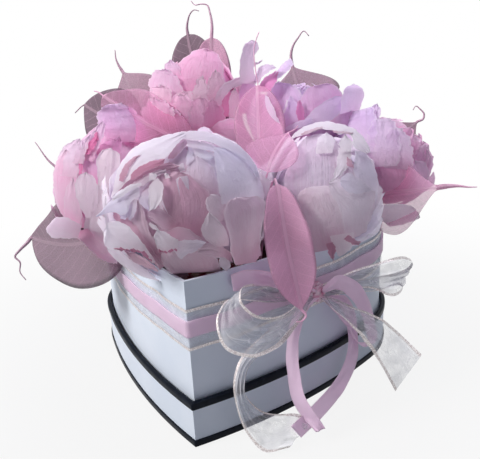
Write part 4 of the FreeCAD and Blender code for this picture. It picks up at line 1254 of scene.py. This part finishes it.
        (1.12, 1.22, 0.02, 0.004, 0.4, 0.66,
         [283, 134, 281, 118, 284, 106, 290, 96],
         [298, 132, 299, 116, 297, 104, 290, 96]),
        # The next two deep pink strips paint the shade in crevices.
        (1.14, 1.22, 0.0, 0.006, 1.6, 0.2,
         [282, 128, 276, 114, 275, 104],
         [284, 126, 281, 114, 278, 103]),
        (1.15, 1.22, 0.0, 0.006, 1.6, 0.2,
         [299, 124, 296, 112, 297, 102],
         [305, 120, 304, 110, 300, 100]),
        # A pale strip that paints a highlight on a fold.
        (1.24, 1.26, 0.0, 0.002, 0.0, 0.1,
         [282, 113, 285, 106, 286, 100],
         [284, 114, 287, 107, 288, 101]),
        (1.06, 1.2, 0.01, 0.003, 0.68, 0.42,
         [306, 128, 304, 112, 301, 98, 306, 90, 316, 86],
         [342, 122, 344, 106, 341, 94, 331, 85, 316, 86]),
        (1.1, 1.74, 0.02, 0.003, 0.28, 0.62,
         [334, 130, 340, 112, 341, 97, 345, 88, 352, 85],
         [354, 128, 361, 112, 363, 98, 359, 88, 352, 85]),
        (1.22, 1.3, 0.0, 0.006, 0.6, 0.4,
         [326, 126, 336, 116, 350, 110],
         [334, 132, 348, 128, 358, 114]),
        (1.2, 1.24, 0.0, 0.004, 0.1, 0.6,
         [283, 129, 292, 124, 302, 120, 312, 117],
         [285, 131, 296, 129, 306, 126, 314, 123]),
        (1.18, 1.28, 0.02, 0.003, 0.06, 0.62,
         [302, 124, 312, 111, 324, 102, 334, 97, 342, 97],
         [304, 129, 318, 126, 332, 120, 341, 111, 342, 97]),
        (1.6, 1.82, 0.0, 0.006, 0.05, 0.4,
         [252, 80, 256, 70, 264, 66, 272, 66],
         [258, 84, 264, 76, 270, 72, 276, 69]),
        (1.44, 1.56, 0.0, 0.003, 0.18, 0.55,
         [260, 88, 268, 79, 278, 71, 291, 61],
         [264, 90, 272, 83, 283, 76, 293, 66]),
        (1.48, 1.56, 0.0, 0.003, 0.1, 0.5,
         [276, 74, 282, 65, 290, 60],
         [282, 76, 288, 69, 291, 63]),
        (1.08, 1.12, 0.0, 0.008, 0.75, 0.35,
         [284, 154, 283, 140, 290, 129],
         [312, 154, 316, 140, 290, 129]),
        (1.44, 1.54, 0.01, 0.006, 0.3, 0.25,
         [264, 156, 251, 132, 246, 114, 250, 101, 258, 94],
         [294, 156, 286, 136, 278, 119, 271, 103, 265, 95, 258, 94]),
    ],
    "far_right": [
        (0.98, 1.06, 0.0, 0.003, 0.62, 0.18,
         [374, 216, 374, 198, 377, 184, 374, 170, 367, 156, 366, 142, 374, 134],
         [402, 212, 414, 196, 417, 180, 413, 164, 405, 149, 392, 138, 374, 134]),
        (1.06, 1.02, 0.0, 0.004, 0.42, 0.4,
         [400, 210, 407, 190, 411, 172, 414, 160],
         [418, 204, 425, 188, 428, 174, 423, 162, 414, 160]),
        (0.96, 1.12, 0.01, 0.01, 0.45, 0.55,
         [362, 172, 362, 150, 366, 138, 378, 131],
         [406, 176, 406, 158, 396, 142, 378, 131]),
        (1.02, 1.24, 0.02, 0.05, 0.25, 0.52,
         [384, 168, 385, 148, 386, 135, 389, 128],
         [412, 170, 412, 152, 408, 138, 401, 129]),
        (1.1, 1.36, 0.02, 0.045, 0.2, 0.85,
         [340, 156, 343, 134, 347, 121, 353, 112],
         [374, 156, 377, 136, 376, 118, 371, 107]),
        (1.06, 1.36, 0.02, 0.01, 0.1, 0.66,
         [366, 134, 367, 118, 370, 108, 376, 104],
         [378, 134, 379, 118, 379, 108, 376, 104]),
        (1.06, 1.28, 0.02, 0.05, 0.15, 0.62,
         [360, 168, 365, 144, 369, 127, 374, 119],
         [398, 166, 400, 146, 397, 129, 389, 118]),
        (1.5, 1.46, 0.0, 0.004, 0.06, 0.1,
         [366, 206, 384, 205, 400, 204, 412, 206, 420, 213],
         [368, 216, 380, 219, 391, 227, 400, 233, 408, 235, 417, 229, 421, 221, 420, 213]),
    ],
    "rear_left": [],
    "rear_right": [],
}
print("petals set by eye:", sum(map(len, PETALS.values())))

# %% [markdown]
# ## Whole flowers
# Under and behind the listed petals, each flower is filled up with rings of petals round its own axis, so that
# it is a full peony from every side. Those that would stand in front of the seen ones are left out. A ridged
# ball closes the middle. Each flower is one piece and stands for its CAD bud and petals.

# %% Flowers
MOOD = {  # how pink and how lilac the rings are
    "front": (0.35, 0.25), "right": (0.25, 0.25), "left": (0.6, 0.25), "top_left": (0.55, 0.15),
    "top_right": (0.45, 0.55), "far_right": (0.6, 0.3), "rear_left": (0.5, 0.2), "rear_right": (0.4, 0.5),
}
RINGS = [  # petals, angle of the tips, reach of the base and of the tips
    (7, 2.85, 0.68, 0.76), (9, 2.55, 0.74, 0.83), (10, 2.25, 0.80, 0.90), (9, 1.95, 0.86, 0.98), (8, 1.6, 0.90, 1.03),
]
for order, (name, flower) in enumerate(FLOWERS.items()):
    mood, rows = MOOD[name], PETALS[name]
    shy = -0.05 if rows else None
    grids = [heart_of(flower, 0.66, (min(mood[0] + 0.3, 1.0), mood[1]))]
    for place, (count, high, low_reach, high_reach) in enumerate(RINGS):
        hide = shy if high_reach > 0.86 else None
        tone = (mood[0] + 0.2 - 0.08 * place, mood[1])
        reach = (low_reach, high_reach)
        grids += whorl(flower, count, high, reach, tone, 20 * place + order, hide)
    grids += [drawn_petal(flower, row, 1000 * order + place) for place, row in enumerate(rows)]
    look = PETAL_LOOKS[flower["slot"]]
    cad = [f"peony_{name}_bud", f"peony_{name}_petals"]
    made = make_piece(f"flower_{name}", grids, look, "arrangement", cad)
    print(made.name, len(grids) - 1, "petals,", len(made.data.polygons), "faces")

# %% [markdown]
# ## Skeleton leaves
# Between the flowers stand skeleton leaves: only the net of veins is left of them, dyed mauve or pink. Their shape
# is a broad heart with a long thin tail. The finish is partly see-through: a fine cell pattern for the net, side
# veins that leave the midrib at a slant, and a solid midrib, stalk and tail. One flattened tube, drawn from the
# stalk's foot to the end of the tail, gives the whole leaf in a single closed surface.

# %% Leaf finish


def vein_group():
    """Leaf net: cell edges of a fine Voronoi pattern, and side veins, a sine of (along minus slope times across)."""
    tree = bpy.data.node_groups.new("leaf_net", "ShaderNodeTree")
    tree.interface.new_socket(name="Mesh", in_out="OUTPUT", socket_type="NodeSocketFloat")
    tree.interface.new_socket(name="Veins", in_out="OUTPUT", socket_type="NodeSocketFloat")
    leave = tree.nodes.new("NodeGroupOutput")
    uv = cut_uv(tree)
    part = node(tree, "ShaderNodeSeparateXYZ", Vector=uv).outputs
    cells = node(tree, "ShaderNodeTexVoronoi", {"feature": "DISTANCE_TO_EDGE"}, Vector=uv, Scale=95.0)
    plug(tree, leave.inputs["Mesh"], ramp(tree, cells.outputs["Distance"], 0.02, 0.16, 1.0, 0.0))
    off = sums(tree, "ABSOLUTE", sums(tree, "SUBTRACT", part["X"], 0.5))
    wander = sums(tree, "MULTIPLY", cloudy(tree, 14.0, 2.0, uv), 0.03)
    slant = sums(tree, "MULTIPLY_ADD", off, -0.85, sums(tree, "ADD", part["Y"], wander))
    comb = sums(tree, "SINE", sums(tree, "MULTIPLY", slant, 95.0))
    side = sums(tree, "MULTIPLY", ramp(tree, comb, 0.92, 1.0), 0.7)
    rib = ramp(tree, off, 0.006, 0.012, 1.0, 0.0)
    plug(tree, leave.inputs["Veins"], sums(tree, "MAXIMUM", side, rib))
    return tree


net = vein_group()


def leaf_finish(name, skin, vein, other, sheer, net_share, glow):
    """A skeleton leaf: skin colour with lighter veins, see-through between them, solid where the shade says stalk."""
    look, tree, shader = new_finish(name, Roughness=0.6, Specular_IOR_Level=0.2)
    lines = use_group(tree, net)
    share = shares(tree)
    cloud = ramp(tree, cloudy(tree, 40.0), 0.3, 0.7)
    body_tone = blend(tree, cloud, skin, tuple(0.86 * c for c in skin[:3]) + (1,))
    body_tone = blend(tree, share["Green"], body_tone, other)
    drawn = sums(tree, "MULTIPLY", lines["Veins"], net_share)
    plug(tree, shader.inputs["Base Color"], blend(tree, drawn, body_tone, vein))
    cover = sums(tree, "MULTIPLY_ADD", lines["Mesh"], 0.4 * net_share, sheer)
    cover = sums(tree, "MAXIMUM", cover, sums(tree, "MULTIPLY", lines["Veins"], 0.3 + 0.5 * net_share))
    cover = sums(tree, "ADD", cover, share["Red"])
    plug(tree, shader.inputs["Alpha"], sums(tree, "MAXIMUM", cover, share["Blue"]))
    bumped(tree, shader, sums(tree, "ADD", lines["Mesh"], lines["Veins"]), 0.0004, 0.35)
    let_through(tree, shader, skin, glow)
    return look


LEAF_COLOURS = {
    "leaf_mauve": dict(
        skin=(0.25, 0.155, 0.215, 1), vein=(0.62, 0.42, 0.52, 1), other=(0.86, 0.50, 0.68, 1),
        sheer=0.52, net_share=0.6, glow=0.15,
    ),
    "leaf_pink": dict(
        skin=(0.94, 0.58, 0.77, 1), vein=(0.97, 0.74, 0.86, 1), other=(0.42, 0.28, 0.36, 1),
        sheer=0.14, net_share=0.22, glow=0.25,
    ),
}
LEAF_LOOKS = {name: leaf_finish(name, **facts) for name, facts in LEAF_COLOURS.items()}
print("leaf finishes:", ", ".join(LEAF_LOOKS))

# %% Leaves
LEAVES = {
    "left_low": dict(
        base=(-60, -28, 106), end=(-124, -31, 97), facing=(0.1, -0.95, 0.3), wide=60, foot=(-42, -22, 60),
        form=(0.36, 0.75, -6.5, 0.21), root=2.6, tail=[28, 242, 20, 250, 15, 257, 20, 262, 20, 272, 26, 280],
    ),
    "left_mid": dict(
        base=(-88, 14, 120), end=(-121, 8, 134), facing=(0.2, -0.9, 0.4), wide=40, foot=(-60, 20, 62),
        form=(0.36, 1.5, 0, 0.21), root=1.8, tail=[48, 160, 42, 152, 38, 146, 35, 142],
    ),
    "left_high": dict(
        base=(-62, 20, 155), end=(-103, 28, 173), facing=(-0.2, -0.9, 0.4), wide=44, foot=(-52, 25, 62),
        form=(0.36, 0.8, 0, 0.21), root=0.9, tail=[81, 107, 77, 111, 75, 113],
    ),
    "upper_left": dict(
        base=(-55, 33, 160), end=(-78, 42, 193), facing=(-0.2, -0.9, 0.4), wide=46, foot=(-44, 33, 62),
        form=(0.36, 1.3, 0, 0.21), root=2.4, tail=[119, 66, 116, 59, 115, 50],
    ),
    "top_back": dict(
        base=(-34, 84, 172), end=(-43, 88, 213), facing=(0.1, -0.95, 0.2), wide=34, foot=(-18, 64, 62),
        form=(0.4, 0.5, 0, 0.21), root=2.4, tail=[187, 28, 188, 20, 190, 14, 194, 10, 199, 11],
    ),
    "top": dict(
        base=(-20, 70, 172), end=(-21, 72, 211), facing=(0.1, -0.95, 0.2), wide=26, foot=(-6, 56, 62),
        form=(0.4, 0.45, 0, 0.21), root=2.6, tail=[212, 26, 210, 13, 207, 5, 201, 4, 195, 5, 191, 1],
    ),
    "top_right": dict(
        base=(42, 88, 160), end=(33, 92, 189), facing=(0.1, -0.95, 0.2), wide=56, foot=(36, 70, 62),
        form=(0.2, 1.6, 0, 0.21), root=2.6, tail=[291, 55, 293, 46, 298, 38, 304, 31, 309, 36],
    ),
    "right_back": dict(
        base=(90, 66, 124), end=(122, 66, 152), facing=(0.3, -0.9, 0.2), wide=42, foot=(66, 56, 62),
        form=(0.36, 1.3, 0, 0.21), root=1.8, tail=[423, 119, 424, 114, 420, 109, 416, 106, 413, 110],
    ),
    "right": dict(
        base=(88, 22, 112), end=(136, 14, 122), facing=(0.2, -0.95, 0.2), wide=52, foot=(66, 22, 62),
        form=(0.36, 1.7, 0, 0.21), root=3.4, tail=[450, 186, 459, 186, 468, 187, 477, 187],
    ),
    "front": dict(
        base=(43, -51, 142), end=(58, -72, 78), facing=(0.5, -0.85, 0.15), wide=27, foot=(24, -24, 62),
        form=(0.6, 0.8, 3.2, 0.42), root=1.8, tail=[306, 316, 302, 321, 296, 322],
    ),
    "centre": dict(
        base=(24, 4, 135), end=(20, 26, 184), facing=(0.2, -0.9, 0.4), wide=32, foot=(14, 8, 62),
        form=(0.5, 0.6, 0, 0.21), root=0.7, tail=[255, 66, 254, 50, 256, 40, 259, 32],
    ),
    "over_right": dict(
        base=(36, -38, 145), end=(46, -22, 164), facing=(-0.2, -0.4, 0.9), wide=36, foot=(16, -8, 62),
        form=(0.36, 1.2, 0, 0.21), root=0.7, tail=[294, 130, 298, 126],
    ),
    "over_back": dict(
        base=(-18, 2, 150), end=(-79, 8, 182), facing=(0.2, -0.8, 0.6), wide=36, foot=(-6, 6, 62),
        form=(0.55, 0.7, -3, 0.21), root=1.0, tail=[98, 92, 94, 91],
    ),
}
LEAF_TONES = {  # how much more cover, and the share of the other colour
    "left_low": (0.0, 0.15), "left_mid": (0.0, 0.35), "left_high": (0.1, 0.0), "upper_left": (0.0, 0.5),
    "top_back": (0.1, 0.05), "top": (0.1, 0.9), "top_right": (0.0, 0.4), "right_back": (0.0, 0.6),
    "right": (0.02, 0.30), "front": (0.45, 0.0), "centre": (0.12, 0.0), "over_right": (0.0, 0.12),
    "over_back": (-0.05, 0.0),
}
PINK_LEAVES = {"right", "front", "centre", "over_right", "over_back"}


def in_picture(spots, depth):
    """Points at a depth from the camera that show at the given spots of the picture."""
    aside = (np.array(spots, float).reshape(-1, 2) - PICTURE / 2) / FOCAL_PIXELS
    return EYE + depth * (aside[:, :1] * RIGHT - aside[:, 1:] * UP - BACK)


STALK_ROWS, BLADE_ROWS, TAIL_ROWS, ACROSS = 7, 30, 24, 23
STALK_HALF, TIP_HALF, FOLDS_FROM, SOLID_TO = 0.0008, 0.0003, 0.0015, 0.0018
SKIN, RIDGE, RIDGE_WIDE = 0.00012, 0.00065, 0.0009
UV_PER_METRE = 10.0


def leaf(base, end, facing, wide, foot, form, root, tail, wave, tone):
    """A whole leaf as one closed tube.

    Its line is a bent stalk from foot to base, a bowed blade to the end, and a tail drawn through spots of the
    picture at the depth of the end. Places and widths are in millimetres. The form says where along the blade it is
    widest, the power for its tip, how far the blade sways sideways, and how steeply its halves fold up. The half
    width is an ellipse up to the widest place and then a quarter cosine raised to the power: low powers give broad
    shoulders, high ones a drawn-out tip. The halves wave a little. The thickness is a thin skin plus a ridge along
    the middle.
    """
    base, end, foot = (np.array(p) / 1000.0 for p in (base, end, foot))
    wide, root = wide / 2000.0, root / 2000.0
    peak, slim, sway, fold = form
    long = float(np.linalg.norm(end - base))
    ahead = (end - base) / long
    face = unit(np.array(facing) - ahead * float(np.array(facing) @ ahead))
    t = np.linspace(0.0, 1.0, STALK_ROWS + 1)[:-1, None]
    elbow = base - ahead * 0.25 * long
    stalk = foot * (1 - t) ** 2 + 2 * elbow * t * (1 - t) + base * t**2
    b = np.linspace(0.0, 1.0, BLADE_ROWS)[:, None]
    bow = face * 0.06 * long + np.cross(ahead, face) * sway / 1000.0
    blade = base + (end - base) * b + bow * np.sin(math.pi * b)
    c = np.linspace(0.0, 1.0, TAIL_ROWS + 1)[1:, None]
    stops = np.concatenate([end[None], in_picture(tail, float((EYE - end) @ BACK))])
    line = np.concatenate([stalk, blade, smooth_route(stops, distance_along(stops), TAIL_ROWS + 1)[1:]])
    early = np.sqrt(np.clip(1.0 - (1.0 - b / peak) ** 2, 0.0, 1.0))
    rest = np.clip((b - peak) / (1.0 - peak), 0.0, 1.0)
    late = np.sin(math.pi / 2 * (1.0 - rest)) ** slim
    stalk_half = np.full((len(t), 1), STALK_HALF)
    half = np.concatenate([stalk_half, wide * np.where(b < peak, early, late), np.zeros((len(c), 1))])
    taper = TIP_HALF + (root - TIP_HALF) * (1.0 - c) ** 1.4
    half = np.maximum(half, np.concatenate([stalk_half, np.full((len(b), 1), root), taper]))
    travel = unit(np.gradient(line, axis=0))
    up = unit(face - travel * (travel @ face)[:, None])
    out = np.cross(travel, up)
    x = np.linspace(-1.0, 1.0, ACROSS)
    q = np.sign(x) * np.abs(x) ** 1.5
    q = np.concatenate([q, q[-2:0:-1]])[None, :]
    over = np.where(np.arange(q.size) < ACROSS, 1.0, -1.0)[None, :]
    skin = SKIN + np.minimum(RIDGE, 0.8 * half) * np.exp(-((q * half / RIDGE_WIDE) ** 2))
    lift = skin * np.sqrt(np.clip(1.0 - q**2, 0.0, 1.0)) * over
    along = distance_along(line)
    flutter = 0.06 * half * np.sin(210 * along[:, None] + wave) * q
    droop = np.where(half > FOLDS_FROM, fold * np.abs(q) * half + flutter, 0.0)
    points = line[:, None] + out[:, None] * (q * half)[..., None] + up[:, None] * (lift + droop)[..., None]
    closed_q = np.concatenate([q, q[:, :1]], axis=1)
    uv = together(0.5 + closed_q * half * UV_PER_METRE, along[:, None] * UV_PER_METRE)
    solid = np.broadcast_to(np.where(half < SOLID_TO, 1.0, 0.0), points.shape[:2])
    return patch(points[:, ::-1], uv[:, ::-1], (*tone, solid), closed=True, caps=True)


for order, (name, facts) in enumerate(LEAVES.items()):
    slot = "leaf_pink" if name in PINK_LEAVES else "leaf_mauve"
    grid = leaf(**facts, wave=1.9 * order, tone=LEAF_TONES[name])
    made = make_piece(f"skeleton_{name}", [grid], LEAF_LOOKS[slot], "arrangement", [f"leaf_{name}"])
    print(made.name, len(made.data.polygons), "faces")

# %% [markdown]
# ## Stems, foam and film
# Inside the box dark floral foam, cut in two halves, in a film holds every stem. Little of it shows: a dark gap
# under the front flower, and the striped sepals under the flowers. These CAD solids keep their shape and get
# finishes: foam with fine pores, film with a soft gloss, and pale brown stems with dark red streaks. Foam and film
# are near black, partly the foam's own dark brown and partly painted shade of the box's inside.

# %% Inner finishes
foam, tree, shader = new_finish("foam", Roughness=0.95, Specular_IOR_Level=0.1)
pores = node(tree, "ShaderNodeTexVoronoi", Vector=on_object(tree), Scale=900.0).outputs["Distance"]
# Near-black pores: the foam's own dark brown, darkened further as painted shade of the box's inside.
plug(tree, shader.inputs["Base Color"], blend(tree, pores, (0.02, 0.008, 0.010, 1), (0.06, 0.022, 0.026, 1)))
bumped(tree, shader, pores, 0.0006, 0.6)

film, tree, shader = new_finish("film", Specular_IOR_Level=0.5)
haze = cloudy(tree, 40.0)
# The film is near black: the dark foam under it and painted shade of the box's inside.
plug(tree, shader.inputs["Base Color"], blend(tree, haze, (0.03, 0.012, 0.015, 1), (0.07, 0.028, 0.032, 1)))
plug(tree, shader.inputs["Roughness"], ramp(tree, cloudy(tree, 90.0), 0.3, 0.7, 0.3, 0.55))
bumped(tree, shader, cloudy(tree, 120.0), 0.0008, 0.4)

stem, tree, shader = new_finish("stem", Roughness=0.6, Specular_IOR_Level=0.3)
drawn = node(tree, "ShaderNodeMapping", Vector=on_object(tree), Scale=(260.0, 260.0, 30.0)).outputs[0]
streak = cloudy(tree, 1.0, 3.0, drawn)
redness = ramp(tree, streak, 0.42, 0.6)
plug(tree, shader.inputs["Base Color"], blend(tree, redness, (0.55, 0.42, 0.33, 1), (0.36, 0.07, 0.09, 1)))
bumped(tree, shader, streak, 0.0005, 0.4)
for name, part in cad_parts.items():
    look = {"foam_block": foam, "foam_film": film}.get(name, stem if name.endswith("_stem") else None)
    if look:
        dress(part, look)
print("inner finishes:", foam.name, film.name, stem.name)
